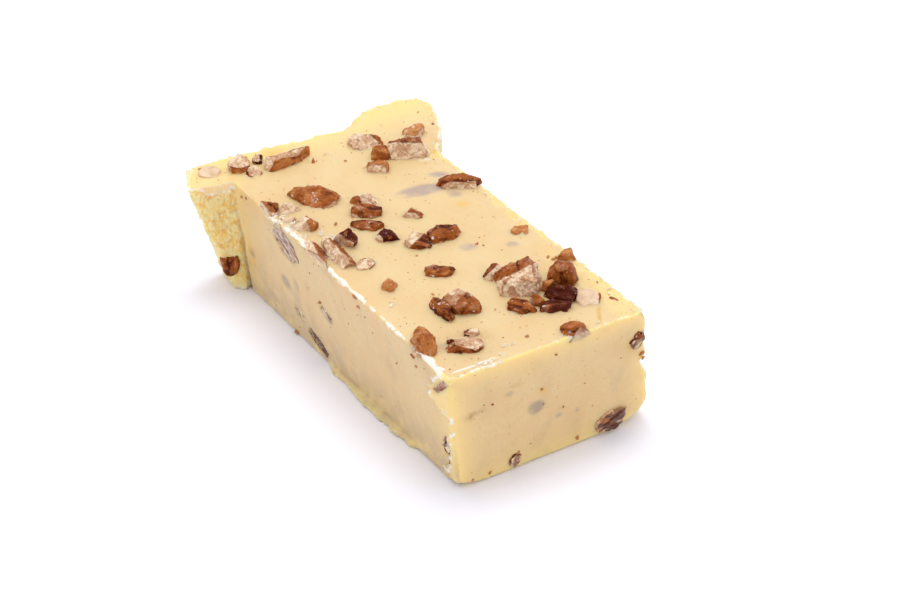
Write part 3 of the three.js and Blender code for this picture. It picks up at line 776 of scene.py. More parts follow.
def rough_zones(bar, uvw, points, edges, top, lip):
    """Rough places: the near right edge and its dent, chipped rims, crust, poured edge, foot, and the gap
    beside the left ear with its painted shade.
    """
    y, z = points[:, 1], points[:, 2]
    right, frayed = edges["right"]
    right_edge = bell(edges["far_corner"][0], 2.0)
    ragged = 1.6 + layered(points, (waves, 8, 11, 1.3), (chips, 1.6, 17, 0.9))
    crust = top * (1 - smooth(4.5, 6.5, right + 1.2 * chips(points, 1.8, 24)))
    ear_rim = bell(np.minimum(right, np.abs(1 - uvw[:, 1]) * bar.poured_edge), 1.6)
    high, low = (np.array(rim["left"][1][:2]) for rim in bar_rims(bar))
    shoulder = low + (high - low) * (points[:, 2:] / bar.height)
    out, before = np.maximum(shoulder - points[:, :2], 0).T
    crevice_shade = bell(out, 0.5) * bell(before, 0.45) * (uvw[:, 0] == 0)
    return {
        "right_edge": right_edge,
        "dent": right_edge * bell(z - 14.4, 1.3),
        "chipped": (frayed > 0.25) * smooth(-0.15, 0.15, ragged - right),
        "crust": crust * (1 - smooth(22, 28, y)),
        "poured": top * smooth(80, 88, y),
        "ear_rim": ear_rim * smooth(bar.right_shoulder - 2, bar.right_shoulder, y),
        "foot_lip": np.minimum(1, 2 * lip),
        "crevice_shade": crevice_shade,
        "open_crevice": crevice_shade * (1 - 0.85 * smooth(10, 26, z)),
    }


def blots(points, rows):
    """Soft round spots: a bell curve about each middle, with its own half sizes and turn."""
    total = np.zeros(len(points))
    for x, y, z, along, across, down, turn, weight in rows:
        right, back, up = (points - (x, y, z)).T
        cosine, sine = math.cos(math.radians(turn)), math.sin(math.radians(turn))
        ahead = right * cosine + back * sine
        aside = back * cosine - right * sine
        total += weight * bell(ahead, along) * bell(aside, across) * bell(up, down)
    return np.clip(total, 0, 1)


def mesh_values(items, field, width):
    """What a mesh's vertices or faces hold, a row for each."""
    values = np.zeros(len(items) * width)
    items.foreach_get(field, values)
    return values.reshape(-1, width)


def piece_forms():
    """The pecan nodes by name in order, each by its flats in millimetres.

    A form has its middle and corners, and the flats' normals, distances from the middle and shares of area.
    """
    forms = {}
    for name in sorted(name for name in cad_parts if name.startswith("pecan_")):
        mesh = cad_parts[name].data
        corners = mesh_values(mesh.vertices, "co", 3) / MM - NEAR_END
        middle = (corners.min(0) + corners.max(0)) / 2
        normals = mesh_values(mesh.polygons, "normal", 3)
        areas = mesh_values(mesh.polygons, "area", 1)[:, 0]
        away = ((mesh_values(mesh.polygons, "center", 3) / MM - NEAR_END - middle) * normals).sum(1)
        keys = np.round(np.column_stack([normals / FLAT_TURN, away / FLAT_STEP])).astype(int)
        _, first, group = np.unique(keys, axis=0, return_index=True, return_inverse=True)
        forms[name] = SimpleNamespace(
            middle=middle, corners=corners, flats=normals[first], away=np.maximum(away[first], 0.05),
            share=np.bincount(group.ravel(), areas) / areas.sum())
    return forms


def flush_flats(bar, form):
    """Which flats of a piece lie in a knife-cut face: a plane through an edge of the top and of the foot."""
    top, foot = bar_rims(bar)
    inside = np.array([0, bar.left_shoulder, bar.height]) / 2
    flush = np.zeros(len(form.flats), bool)
    for edge in ("left", "right", "front"):
        first, second = (np.array([*top[edge][i][:2], bar.height]) for i in (0, 1))
        normal = unit(np.cross(second - first, np.array([*foot[edge][0][:2], 0]) - first))
        normal *= np.sign((first - inside) @ normal)
        level = np.abs(form.flats @ form.middle + form.away - first @ normal) < FLUSH_GAP
        flush |= (form.flats @ normal > FLUSH_COSINE) & level
    return flush


def within(points, form):
    """Which points lie close to a piece's box."""
    low, high = form.corners.min(0) - PIECE_REACH, form.corners.max(0) + PIECE_REACH
    return np.all((points > low) & (points < high), axis=1)


def piece_distance(points, form, kept=slice(None)):
    """The largest of the distances to a piece's flats, below 0 inside it."""
    return ((points - form.middle) @ form.flats[kept].T - form.away[kept]).max(1)


def nearness(points, form, forms):
    """How close points of one piece lie to the other pieces, from 1 where they touch down to 0, for painted
    shade.
    """
    nook_shade = np.zeros(len(points))
    for other in forms:
        near = within(points, other)
        if other is not form and near.any():
            distance = np.maximum(piece_distance(points[near], other), 0)
            nook_shade[near] = np.maximum(nook_shade[near], np.exp(-distance / 0.6))
    return nook_shade


def settle_round_pieces(bar, points, normals):
    """How far fudge rises against each piece and sinks under it, and how much it is pressed near it."""
    shift = np.zeros(len(points))
    press = np.zeros(len(points))
    for form in piece_forms().values():
        near = within(points, form)
        if near.any():
            close = points[near]
            distance = piece_distance(close, form, ~flush_flats(bar, form)) + 0.16 * waves(close, 1.3, 32)
            outside = np.maximum(distance, 0)
            ruffle = 0.6 + 0.6 * waves(close, 2.6, 31)
            upward = normals[near, 2] > 0.6
            rise = np.exp(-outside / 0.5) * ruffle * (0.05 + 0.22 * upward)
            sink = 0.5 * smooth(0.05, 0.45, -distance) * ~upward
            shift[near] += np.where(distance > 0, rise, rise - sink)
            press[near] = np.maximum(press[near], np.exp(-outside / 0.55))
    return shift, press


def frayed_edges(bar, points, edges):
    """How far the burrs on the cut edges stand out, and the white sugar along them.

    Both follow a bell curve of the distance to an edge and are broken up by chips.
    """
    burr = np.zeros(len(points))
    sugar = np.zeros(len(points))
    for seed, (distance, frayed) in enumerate(edges.values()):
        tufts = layered(points, (chips, 1.5, 40 + seed, 1), (chips, 0.7, 50 + seed, 0.6))
        burr += bar.burr * frayed * bell(distance, 0.5) * (0.2 + 0.55 * tufts)
        spread = 0.14 + 0.62 * frayed * smooth(-0.5, 0.9, waves(points, 3.2, 60 + seed))
        patches = layered(points, (waves, 6, 80 + seed, 1), (chips, 1.6, 85 + seed, 0.6)) + frayed - 0.7
        white = smooth(-0.4, 0.3, patches) * frayed * bell(distance, spread) * (1 + 0.5 * tufts)
        sugar = np.maximum(sugar, white)
    return burr, sugar


def zone_sugar(points, zones):
    """The white sugar of the zones and of the patches on the top, and painted light that whitens the shaded
    hood over the left ear.
    """
    # painted light: the hood's share lightens an overhang that faces down into shade
    sugar = 1.1 * zones["strip"] + 0.9 * zones["line"] + 0.42 * zones["hood"]
    sugar += blots(points, SUGAR_SPOTS) * zones["top"]
    for key, (weight, size, seed, low, high) in ZONE_SUGAR.items():
        sugar += weight * zones[key] * smooth(low, high, chips(points, size, seed))
    return sugar


def bar_tints(points, zones, border, on_left):
    """Where the fudge has each of its tints: torn, painted light, knife-cut, painted shade, stained and
    yellow.
    """
    wall, foot_lip = zones["wall"], zones["foot_lip"]
    y, z = points[:, 1], points[:, 2]
    # painted light: yellow brightness where light shines through thin fudge, near the cut faces' borders and
    # at the far end, on the fold and drip edge, and over the crust, the foot lip and the shaded hood
    painted_glow = np.exp(-(border / 3.4) ** 1.5) * wall + smooth(78, 92, y) * zones["top"]
    painted_glow = np.clip(np.maximum(painted_glow, zones["folded"]) + zones["drip_edge"], 0, 1)
    # painted shade: the left wall darker towards its foot, in the colour of the pieces under the sides
    low_wall_shade = 0.7 * on_left * wall * (1 - smooth(0, 14, z))
    return {
        "torn": zones["broken"] + 0.22 * foot_lip + 0.55 * zones["chipped"],
        "painted_glow": painted_glow + 0.6 * zones["crust"] + 0.8 * foot_lip + 0.45 * zones["hood"],
        "wall": wall,
        # painted shade in the gap beside the left ear, strongest low down
        "crevice_shade": zones["crevice_shade"] * (1 - 0.65 * smooth(2, 24, z)),
        "ghost": smooth(0.2, 0.6, blots(points, GHOSTS)) + low_wall_shade,
        "stain": blots(points, STAINS + CRACKS) + 0.14 * foot_lip,
        "yellow": blots(points, YELLOW_SPOTS + CRACKS),
    }


def bar_surface(bar):
    """The fudge bar's points in millimetres, faces and attributes.

    The plain bar is moved along its normals by the relief of each zone and by the burrs of the cut edges,
    and settles round each pecan piece. Its foot stays flat.
    """
    uvw, quads, rim = box_grid(BAR_CELLS, closed=False)
    points, lip = bar_form(bar, uvw)
    points = points + ear_lip(bar, points)
    normals = outward(points, quads)
    on_left = uvw[:, 0] == 0
    on_foot = 1 - smooth(0.0, 1.2, points[:, 2])
    top = smooth(0.7, 0.95, normals[:, 2])
    edges, left_cut, right_cut, border = cut_edges(bar, uvw, points)
    zones = face_zones(bar, uvw, points, left_cut, right_cut) | corner_zones(points, edges, on_left, top)
    zones |= rough_zones(bar, uvw, points, edges, top, lip)
    zones["top"] = top

    crumb = layered(points, *CRUMB)
    shift, sugar = frayed_edges(bar, points, edges)
    sugar += zone_sugar(points, zones)
    shift += bar.crag * zones["broken"] * (crumb + 0.3 * waves(points, 6, 10))
    for key, (raised, *layers) in BAR_RELIEF.items():
        shift += zones[key] * (raised + layered(points, *layers))
    settled, press = settle_round_pieces(bar, points, normals)
    shift = shift * (1 - 0.8 * press) + settled
    points = points + normals * (shift * (1 - on_foot * (1 - zones["broken"])))[:, None]
    points[:, 2] = np.where(uvw[:, 2] == 0, 0, np.maximum(points[:, 2], 0))

    shares = bar_tints(points, zones, border, on_left) | {"sugar": sugar, "press": press}
    attributes = {key: np.clip(values, 0, 1) for key, values in shares.items()}
    attributes["crumb"] = np.clip(crumb, -1, 1)
    return points, quads.tolist() + [rim.tolist()], attributes


def piece_flats(bar, form, rng):
    """The flats that shape a piece, their distances from its middle and which of them the knife cut.

    The largest flats stand near their own places, all of them again a little further back, and a few random
    ones knock corners off.
    """
    flush = flush_flats(bar, form)
    main = np.argsort(-form.share - flush)[:MAIN_FLATS]
    knocks = unit(rng.normal(size=(KNOCKS, 3)))
    reach = ((form.corners - form.middle) @ knocks.T).max(0) * rng.uniform(0.8, 0.96, KNOCKS)
    main_away = np.where(flush[main], 1, MAIN_BACK) * form.away[main]
    away = np.concatenate([main_away, SMALL_BACK * form.away, np.maximum(reach, 0.2)])
    flats = np.concatenate([form.flats[main], form.flats, knocks])
    return flats, away, np.concatenate([flush[main], np.zeros(len(flats) - len(main), bool)])


def piece_skin(order, around, flats, pull):
    """How much skin each point has: that of the flats that face its ways, or of the whole side that does."""
    _, ways, cover, _ = PIECE_LOOKS[order]
    facing = unit(sum(EYE_AXES[way] for way in ways))
    skin = (pull * (flats @ facing > 1 - 2 * cover)).sum(1)
    if order in SIDE_SKIN_PIECES:
        reach = around @ facing
        skin = smooth(-0.1, 0.1, reach / reach.max() - 1 + 2 * cover)
    return smooth(0.3, 0.7, skin + 0.16 * waves(around, 1.3, 300 + order))


def piece_relief(form, order, ray, around, skin, rng):
    """How far each point of a piece is shifted, its place along the grain and how deep it is in the groove.

    Skin is wrinkled along the piece and has one groove, broken flesh is lumpy, and a few dents go into both.
    """
    calm = PLAIN_RELIEF if order in PLAIN_PIECES else 1
    size = np.ptp(form.corners, axis=0).mean() / 2
    _, _, axes = np.linalg.svd(form.corners - form.corners.mean(0), full_matrices=False)
    grain = around @ axes.T
    dents = unit(rng.normal(size=(KNOCKS, 3)))
    hollow = np.exp((ray @ dents.T - 1) / 0.07).max(1) * 0.22 * size
    side = rng.uniform(-0.35, 0.35) * size
    groove = bell(grain[:, 1] - side + 0.25 * waves(grain[:, :1], 4, 700 + order), 0.32)
    groove *= skin * max(0, 0.36 - 0.42 * TONES[PIECE_LOOKS[order][0]]) * calm
    wrinkles = 0.05 * waves(grain * (0.28, 1, 1), 0.9, 100 + order)
    wrinkles += 0.12 * chips(around, 2.4, 250 + order)
    lumps = layered(around, (chips, 1.7, 200 + order, 0.16), (chips, 0.7, 900 + order, 0.1))
    lumps *= 0.2 if order in SMOOTH_PIECES else 1
    shift = skin * wrinkles - groove + (1 - skin) * lumps
    shift += calm * (0.07 * waves(around, 2.6, 400 + order) - 0.15 * hollow)
    return shift, grain, groove


def piece_surface(bar, forms, order):
    """A pecan piece's points in millimetres, quads and attributes.

    In each direction from the middle the surface lies where the flats' distances, added up as a high power
    mean, reach 1, which rounds the edges between them. Then it is shifted along its normals.
    """
    tone, _, _, film = PIECE_LOOKS[order]
    form = forms[order]
    half = np.ptp(form.corners, axis=0) / 2
    cells = int(np.clip(2 * half.max() / PIECE_CELL, *PIECE_CELLS))
    uvw, quads, _ = box_grid((cells,) * 3)
    ray = unit(np.tan((uvw * 2 - 1) * np.pi / 4) * half)
    rng = np.random.default_rng(500 + order)
    flats, away, flush = piece_flats(bar, form, rng)
    cut = order in CUT_PIECES
    sway = layered(ray * half, (waves, 2.4, 950 + order, 1), (waves, 1.1, 980 + order, 0.6))
    sway *= 0.18 if cut else 0.06 * (PLAIN_RELIEF if order in PLAIN_PIECES else 1)
    press = np.maximum(ray @ flats.T / away, 1e-6) * np.where(flush, 1, 1 + sway[:, None])
    pull = press ** EDGE_POWER
    total = pull.sum(1, keepdims=True)
    pull /= total
    around = ray * total ** (-1 / EDGE_POWER)
    smooth_cut = (pull * flush).sum(1)
    ranked = np.sort(press[:, :MAIN_FLATS], axis=1)
    edge = ranked[:, -2] / ranked[:, -1]
    skin = piece_skin(order, around, flats, pull)
    shift, grain, groove = piece_relief(form, order, ray, around, skin, rng)
    points = form.middle + around + outward(around, quads) * ((1 - 0.9 * smooth_cut) * shift)[:, None]

    low = 1 - smooth(0.0, 0.4, points[:, 2] - bar.height + 0.22 * waves(points, 1.4, 600 + order))
    smear = film * smooth(-0.1, 0.7, waves(points, 2.2, 800 + order))
    smear += smooth_cut * film * (0.3 + 1.1 * smooth(0.55, 0.95, edge))
    smear += 0.5 * low * (order < CUT_PIECES.start)
    attributes = {
        "skin": skin,
        "smear": np.clip(smear, 0, 1),
        # the groove is also painted darker, as painted shade
        "groove": 3 * groove,
        # painted shade where one piece lies close to another
        "nook_shade": nearness(points, form, forms),
        "edge": smooth(0.7, 0.98, edge),
        "tone": np.full(len(points), TONES[tone] + 0.12 * rng.uniform(-1, 1)),
        "cut": smooth_cut * (1.0 if cut else 0.3) * np.clip(1.1 - TONES[tone], 0.2, 1),
        # the relief also paints light on raised parts and shade in hollows
        "relief": np.clip(shift / 0.2, -1, 1),
        "crumbly": np.full(len(points), float(order not in SMOOTH_PIECES)),
        "grain": grain,
    }
    return points, quads.tolist(), attributes


def scattered_bits(places, spans, thickness, seed):
    """Many small bits as one mesh: at each place a box rounded to a ball, jittered, flattened and turned."""
    rng = np.random.default_rng(seed)
    uvw, quads, _ = box_grid((2, 2, 2))
    ball = unit(uvw * 2 - 1)
    count = len(places)
    shapes = ball * rng.uniform(0.65, 1.25, (count, len(ball), 1))
    spreads = np.column_stack([rng.uniform(*span, count) for span in (BIT_LENGTH, BIT_WIDTH, thickness)])
    turns, _ = np.linalg.qr(rng.normal(size=(count, 3, 3)))
    turns *= np.sign(np.linalg.det(turns))[:, None, None]
    shapes = shapes * spreads[:, None, :]
    points = np.einsum("nij,nkj->nki", turns, shapes) * spans[:, None, None] + places[:, None, :]
    faces = quads[None] + (np.arange(count) * len(ball))[:, None, None]
    points = points.reshape(-1, 3)
    points[:, 2] = np.maximum(points[:, 2], BIT_FLOOR)
    return points, faces.reshape(-1, 4).tolist()


def uneven(rng, count):
    """Relative sizes, many small and a few large."""
    return 0.55 + 0.5 * rng.exponential(0.7, count)


def on_face(bar, face, along, level):
    """A point on a cut face by its place along it and its height, or on the top by its two places."""
    if face == "top":
        return np.array([along, level, bar.height])
    rims = bar_rims(bar)
    share = along / (bar.left_shoulder / 0.8) if face == "left" else along / bar.width + 0.5
    high, low = (edge_line(rim["left" if face == "left" else "front"], np.array([share]))[0] for rim in rims)
    rise = level / bar.height
    return np.array([*((1 - rise) * low + rise * high), level])


def flake_places(bar, count):
    """Where white flakes lie, how large they are and how warm.

    They lie along the left, near and right top edges, on the smeared fold, on the broken faces and in tufts.
    """
    rng = np.random.default_rng(21)
    top, _ = bar_rims(bar)
    chosen = rng.choice(3, count, p=FLAKE_SHARES)
    share = rng.uniform(0, 1, count)
    left = edge_line(top["left"], 0.02 + 0.5 * share ** 1.3)
    near = edge_line(top["front"], 0.02 + 0.96 * share ** 1.2)
    right = edge_line(top["right"], 0.02 + 0.66 * share)
    plan = np.choose(chosen[:, None], [left, near, right])
    places = np.column_stack([plan, np.full(count, bar.height)])
    inward = np.abs(rng.normal(0, 0.42, count))
    places[:, 0] += np.choose(chosen, [inward, 0, -1.0 - 2.4 * inward])
    places[:, 1] += np.choose(chosen, [0, inward, 0])
    places += rng.normal(0, 0.14, (count, 3))
    stray = (rng.uniform(size=count) < STRAY_SHARE) & (chosen < 2)
    places[stray, :2] += np.abs(rng.normal(0, 1.8, (np.sum(stray), 2)))

    level = rng.uniform(1.5, 26.5, FOLD_FLAKES)
    reach = by_table(level, FOLD_REACH) + rng.normal(0, 0.2, FOLD_FLAKES)
    fold = np.array([on_face(bar, "left", *row) for row in zip(reach, level)])
    uvw = rng.uniform(0, 1, (BROKEN_FLAKES, 3))
    uvw[:, 0] = uvw[:, 0] > 0.6
    broken, _ = bar_form(bar, uvw)
    shoulder = np.where(uvw[:, 0] == 0, bar.left_shoulder, bar.right_shoulder)
    broken = broken[(broken[:, 1] > shoulder + 0.6) & (broken[:, 2] < bar.height - 2.5)]
    tuft_size = np.repeat([size for _, _, size in SET_FLAKES], TUFT)
    tufts = np.repeat([on_face(bar, "top", x, y) for x, y, _ in SET_FLAKES], TUFT, axis=0)
    tufts += rng.normal(0, 0.1, tufts.shape) * tuft_size[:, None] * (1, 1, 0.5)
    groups = ((places, 0.75, 0.0), (fold, 1.5, 0.0), (broken, 1.7, 1.0), (tufts, 0.42 * tuft_size, 0.25))
    spans = np.concatenate([size * uneven(rng, len(group)) for group, size, _ in groups])
    warm = np.concatenate([np.full(len(group), warmth) for group, _, warmth in groups])
    return np.concatenate([group for group, _, _ in groups]), spans, warm


def crumb_places(bar, count):
    """Where nut crumbs lie, on the top and pressed into the left and near faces, and how large they are."""
    rng = np.random.default_rng(22)
    uvw = np.ones((count, 3))
    uvw[:, 0] = rng.uniform(0.04, 0.96, count)
    uvw[:, 1] = rng.uniform(0.02, 0.93, count)
    side = rng.choice(3, count, p=CRUMB_SHARES)
    uvw[side == 1, 0] = 0
    uvw[side == 1, 1] *= 0.85
    uvw[side == 2, 1] = 0
    uvw[side > 0, 2] = rng.uniform(0.12, 0.95, np.sum(side > 0))
    points, _ = bar_form(bar, uvw)
    rows = [(face, *row) for face, *group in SET_CRUMBS for row in group]
    points = np.concatenate([points, [on_face(bar, *row[:3]) for row in rows]])
    return points, np.concatenate([uneven(rng, count), [row[3] for row in rows]])


def in_millimetres(group):
    """The lengths of a group of values in millimetres."""
    return SimpleNamespace(**{key: getattr(group, key) / MM for key in group.__annotations__})


def add_object(name, data):
    """A new object in the scene."""
    made = bpy.data.objects.new(name, data)
    bpy.context.scene.collection.objects.link(made)
    return made


def make_piece(name, points, faces, material, attributes=None, crisp=None):
    """A smooth mesh object in the part's frame that rides on its one body, sharp past a crisp angle."""
    mesh = bpy.data.meshes.new(name)
    mesh.from_pydata(((points + NEAR_END) * MM).tolist(), [], faces)
    for key, values in (attributes or {}).items():
        kind, field = ("FLOAT_VECTOR", "vector") if values.ndim == 2 else ("FLOAT", "value")
        layer = mesh.attributes.new(key, kind, "POINT")
        layer.data.foreach_set(field, values.astype(np.float32).ravel())
    mesh.polygons.foreach_set("use_smooth", np.ones(len(mesh.polygons), bool))
    if crisp is not None:
        mesh.set_sharp_from_angle(angle=crisp)
    mesh.materials.append(material)
    mesh.update()
    piece = add_object(name, mesh)
    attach(piece, "root")
    return piece


def fudge_finish(look):
    """Cream fudge: soft clouds, knife drag on the cut faces, brown specks, torn crumb and white edges."""
    finish = Finish("vanilla_fudge")
    torn, sugar, wall, press, painted_glow = finish.attributes("torn", "sugar", "wall", "press", "painted_glow")
    stain, ghost, yellow, crevice_shade, crumb = finish.attributes("stain", "ghost", "yellow", "crevice_shade", "crumb")
    clouds = finish.noise(85.0, 4.0, 0.6)
    fine = finish.noise(1500.0, 3.0, 0.65)
    drag = finish.noise(420.0, 3.0, 0.6, stretch=(1.0, 1.0, 0.12))
    crystals = finish.noise(1100.0, 4.0, 0.75)
    meal = finish.noise(1300.0, 3.0, 0.7)
    hazy = finish.noise(150.0, 3.0, stretch=(1.0, 1.0, 0.6))
    veil = finish.noise(260.0, 3.0)
    herds = finish.noise(130.0).band(0.42, 0.62)

    # the ghost attribute also holds painted shade low on the left wall
    shadows = ghost * 0.8 + wall * hazy.band(0.5, 0.75) * 0.22
    crumb = crumb + crystals.sway(1.4)
    # painted shade in the hollows of the broken crumb; the whiter peaks are sugar and painted light
    broken = finish.paint(
        look.torn_shade,
        (crumb.band(-0.45, 0.35), look.torn),
        (crumb.band(0.4, 0.9) * 0.35, look.sugar))
    specks = finish.specks(480.0, 0.14, 0.55) + finish.specks(230.0, 0.075, 0.4)
    specks = specks + finish.specks(900.0, 0.17, 0.5) * herds
    white = (sugar + crystals.sway(1.3)).band(0.22, 0.95)
    cream = finish.paint(
        look.cream,
        (clouds.band(0.36, 0.7) * 0.6, look.deep),
        (wall * drag.band(0.45, 0.8) * 0.3, look.deep),
        (wall * meal.band(0.36, 0.66) * 0.5, look.deep),
        # painted light on thin edges, the far end and the shaded hood
        (painted_glow * 0.95, look.painted_glow),
        (press * press * 0.4, look.stain),
        (stain * fine.band(0.2, 0.6), look.stain),
        (shadows * veil.band(0.2, 0.6), finish.paint(look.ghost, (wall, look.side_ghost))),
        (yellow * 0.85, look.yellow),
        (torn * 0.9, broken),
        # painted shade in the gap beside the left ear
        (crevice_shade * 0.9, look.crevice_shade),
        (specks * (1 - torn * 0.7) * (1 - wall * 0.5) * 0.75, look.speck),
        (white * 0.95, look.sugar))
    height = fine * 0.25 + wall * drag * 0.5 + torn * crystals * 6.0 + white * crystals * 1.2
    return finish.surface({
        "Base Color": cream,
        "Roughness": 0.40 + torn * 0.22 + white * 0.3 + fine.sway(0.2),
        "IOR": 1.45,
        "Subsurface Weight": 0.6,
        "Subsurface Radius": (1.0, 0.62, 0.3),
        "Subsurface Scale": 0.0035,
    }, height, 0.45, 0.00018)


def pecan_finish(look):
    """Pecan: glossy skin from dark to golden, dry broken flesh with a brown rim, and smears of fudge."""
    finish = Finish("pecan")
    (grain,) = finish.attributes("grain", out="Vector")
    skin, tone, groove, relief = finish.attributes("skin", "tone", "groove", "relief")
    edge, nook_shade, crumbly, cut, smear = finish.attributes("edge", "nook_shade", "crumbly", "cut", "smear")
    streaks = finish.noise(1.2, 4.0, 0.65, vector=grain, stretch=(0.35, 1.0, 1.0))
    mottle = finish.noise(420.0, 4.0, 0.6)
    fine = finish.noise(2200.0, 3.0, 0.6)

    shade = tone + streaks.sway(1.5) + mottle.sway(1.2) + fine.sway(0.7)
    # painted light and shade: the skin lighter on raised relief, darker in hollows, close to other pieces
    # and in the groove
    shade = shade + relief * 0.45 - nook_shade * 0.5 - groove * 0.5
    # painted highlights and sugar dots: bright dots on the skin
    glints_and_grains = finish.specks(620.0, 0.24, 0.5) * mottle.band(0.46, 0.6)
    peel = finish.paint(
        look.dark,
        (shade.band(0.0, 0.55), look.brown),
        (shade.band(0.55, 1.0), look.golden),
        (shade.band(1.0, 1.5), look.tan),
        # pale specks on the skin: sugar dust and painted glints
        (finish.specks(900.0, 0.17, 0.6) * 0.4, look.flesh),
        (glints_and_grains * 0.8, look.grain))
    # painted light: the flesh lighter where its relief stands up
    lumps = (mottle.sway(0.9) + fine.sway(1.8)) * crumbly + relief * 0.7
    veins = (streaks + fine.sway(0.2)).band(0.54, 0.72) * crumbly
    flesh_rim = (edge + mottle.sway(0.9) + streaks.sway(0.7)).band(0.78, 1.1) * crumbly
    flesh = finish.paint(
        look.pink,
        (lumps.band(-0.4, 0.25), look.flesh),
        (veins * 0.45, look.brown),
        (flesh_rim * 0.8, look.brown),
        # painted shade in the flesh close to other pieces
        (nook_shade * 0.5, look.brown))
    smeared = finish.paint(
        look.grey,
        (mottle.band(0.5, 0.62), look.pink),
        (streaks.band(0.5, 0.58) * 0.8, look.dark),
        ((1 - streaks.band(0.36, 0.44)) * 0.7, look.film))
    rim = skin.band(0.02, 0.35) * (1 - skin.band(0.45, 0.95))
    cut_rim = cut * (edge + streaks.sway(1.2)).band(0.5, 0.95)
    # painted highlight: lighter golden along the pieces' sharp edges
    edge_light = edge * (1 - cut) * mottle.band(0.45, 0.7)
    smear = (smear + mottle.sway(0.5)).band(0.35, 0.75)
    body = finish.paint(
        flesh,
        (skin, peel),
        (cut * 0.9, smeared),
        (rim * 0.5, look.dark),
        (cut_rim * 0.8, look.dark),
        (edge_light * 0.3, look.golden),
        (smear * 0.85, look.film))
    height = streaks * skin + fine * 0.5 + fine * (1 - skin) * 0.7 + mottle * 0.6
    return finish.surface({
        "Base Color": body,
        "Roughness": 0.6 - skin * 0.22 + mottle.sway(0.3) + smear * 0.1,
        "IOR": 1.47,
        "Specular IOR Level": 0.1,
        "Coat Weight": (0.1 + skin * 0.8) * (1 - smear) * mottle.band(0.57, 0.64),
        "Coat Roughness": 0.1,
        "Coat IOR": 1.7,
    }, height, 0.7, 0.00025)


def sugar_finish(look):
    """White sugary flakes, with a little cream in them."""
    finish = Finish("sugar_flakes")
    (warm,) = finish.attributes("warm")
    clouds = finish.noise(700.0, 3.0)
    tint = finish.paint(look.sugar, (clouds.band(0.45, 0.75) * 0.5, look.cream), (warm * 0.75, look.torn))
    return finish.surface({
        "Base Color": tint,
        "Roughness": 0.7 + clouds.sway(0.3),
        "Subsurface Weight": 0.2,
        "Subsurface Radius": (1.0, 0.8, 0.6),
        "Subsurface Scale": 0.0006,
    }, finish.noise(4000.0))


def crumb_finish(look):
    """Nut crumbs, from dark brown to tan."""
    finish = Finish("pecan_crumbs")
    clouds = finish.noise(260.0)
    fine = finish.noise(3000.0)
    tint = finish.paint(
        look.brown, (clouds.band(0.36, 0.46), look.golden), (clouds.band(0.48, 0.6), look.tan))
    return finish.surface({"Base Color": tint, "Roughness": 0.5 + fine.sway(0.2)}, fine)


def floor_finish(look):
    """A plain pale floor with the faintest cloud in it."""
    finish = Finish("pale_floor")
    tint = finish.paint(look.floor, (finish.noise(3.0, 1.0), [0.985 * c for c in look.floor]))
    return finish.surface({"Base Color": tint, "Roughness": 0.9})


class FUDGE_OT_bar(Operator):
    """Build the bar of fudge"""

    bl_idname = "fudge.bar"
    bl_label = "Fudge Bar"

    def execute(self, context):
        points, faces, attributes = bar_surface(in_millimetres(context.scene.fudge_bar))
        bar = make_piece("fudge_bar", points, faces, fudge_finish(context.scene.fudge_look), attributes)
        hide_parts("fudge")
        return {"FINISHED"}


class FUDGE_OT_pecans(Operator):
    """Build the pecan pieces"""

    bl_idname = "fudge.pecans"
    bl_label = "Pecan Pieces"

    def execute(self, context):
        bar = in_millimetres(context.scene.fudge_bar)
        material = pecan_finish(context.scene.fudge_pecan)
        forms = piece_forms()
        if len(forms) != len(PIECE_LOOKS):
            raise RuntimeError("the frame's pecan pieces and their looks differ in number")
        for order, name in enumerate(forms):
            points, faces, attributes = piece_surface(bar, list(forms.values()), order)
            nut = name.replace("pecan", "nut_piece")
            piece = make_piece(nut, points, faces, material, attributes, CRISP)
            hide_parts(name)
        return {"FINISHED"}


class FUDGE_OT_flakes(Operator):
    """Scatter white sugar flakes along the cut edges"""

    bl_idname = "fudge.flakes"
    bl_label = "Sugar Flakes"

    def execute(self, context):
        crumbs = context.scene.fudge_crumbs
        places, spans, warm = flake_places(in_millimetres(context.scene.fudge_bar), crumbs.flakes)
        points, faces = scattered_bits(places, spans * crumbs.flake_size / MM, FLAKE_THICKNESS, 23)
        warmth = {"warm": np.repeat(warm, len(points) // len(places))}
        flakes = make_piece("sugar_flakes", points, faces, sugar_finish(context.scene.fudge_look), warmth)
        return {"FINISHED"}


class FUDGE_OT_crumbs(Operator):
    """Scatter nut crumbs over the top and the cut faces"""

    bl_idname = "fudge.crumbs"
    bl_label = "Nut Crumbs"

    def execute(self, context):
        crumbs = context.scene.fudge_crumbs
        places, spans = crumb_places(in_millimetres(context.scene.fudge_bar), crumbs.crumbs)
        points, faces = scattered_bits(places, spans * crumbs.crumb_size / MM, CRUMB_THICKNESS, 24)
        bits = make_piece("nut_crumbs", points, faces, crumb_finish(context.scene.fudge_pecan))
        return {"FINISHED"}


def add_floor(look):
    """A flat square grid under the bar."""
    line = np.linspace(-FLOOR_HALF, FLOOR_HALF, FLOOR_LINES)
    x, y = (values.ravel() for values in np.meshgrid(line, line))
    grid = np.arange(FLOOR_LINES ** 2).reshape(FLOOR_LINES, FLOOR_LINES)
    quads = np.stack([grid[:-1, :-1], grid[:-1, 1:], grid[1:, 1:], grid[1:, :-1]], -1).reshape(-1, 4)
    mesh = bpy.data.meshes.new("floor")
    mesh.from_pydata(np.column_stack([x, y, 0 * x]).tolist(), [], quads.tolist())
    mesh.materials.append(floor_finish(look))
    floor = add_object("floor", mesh)


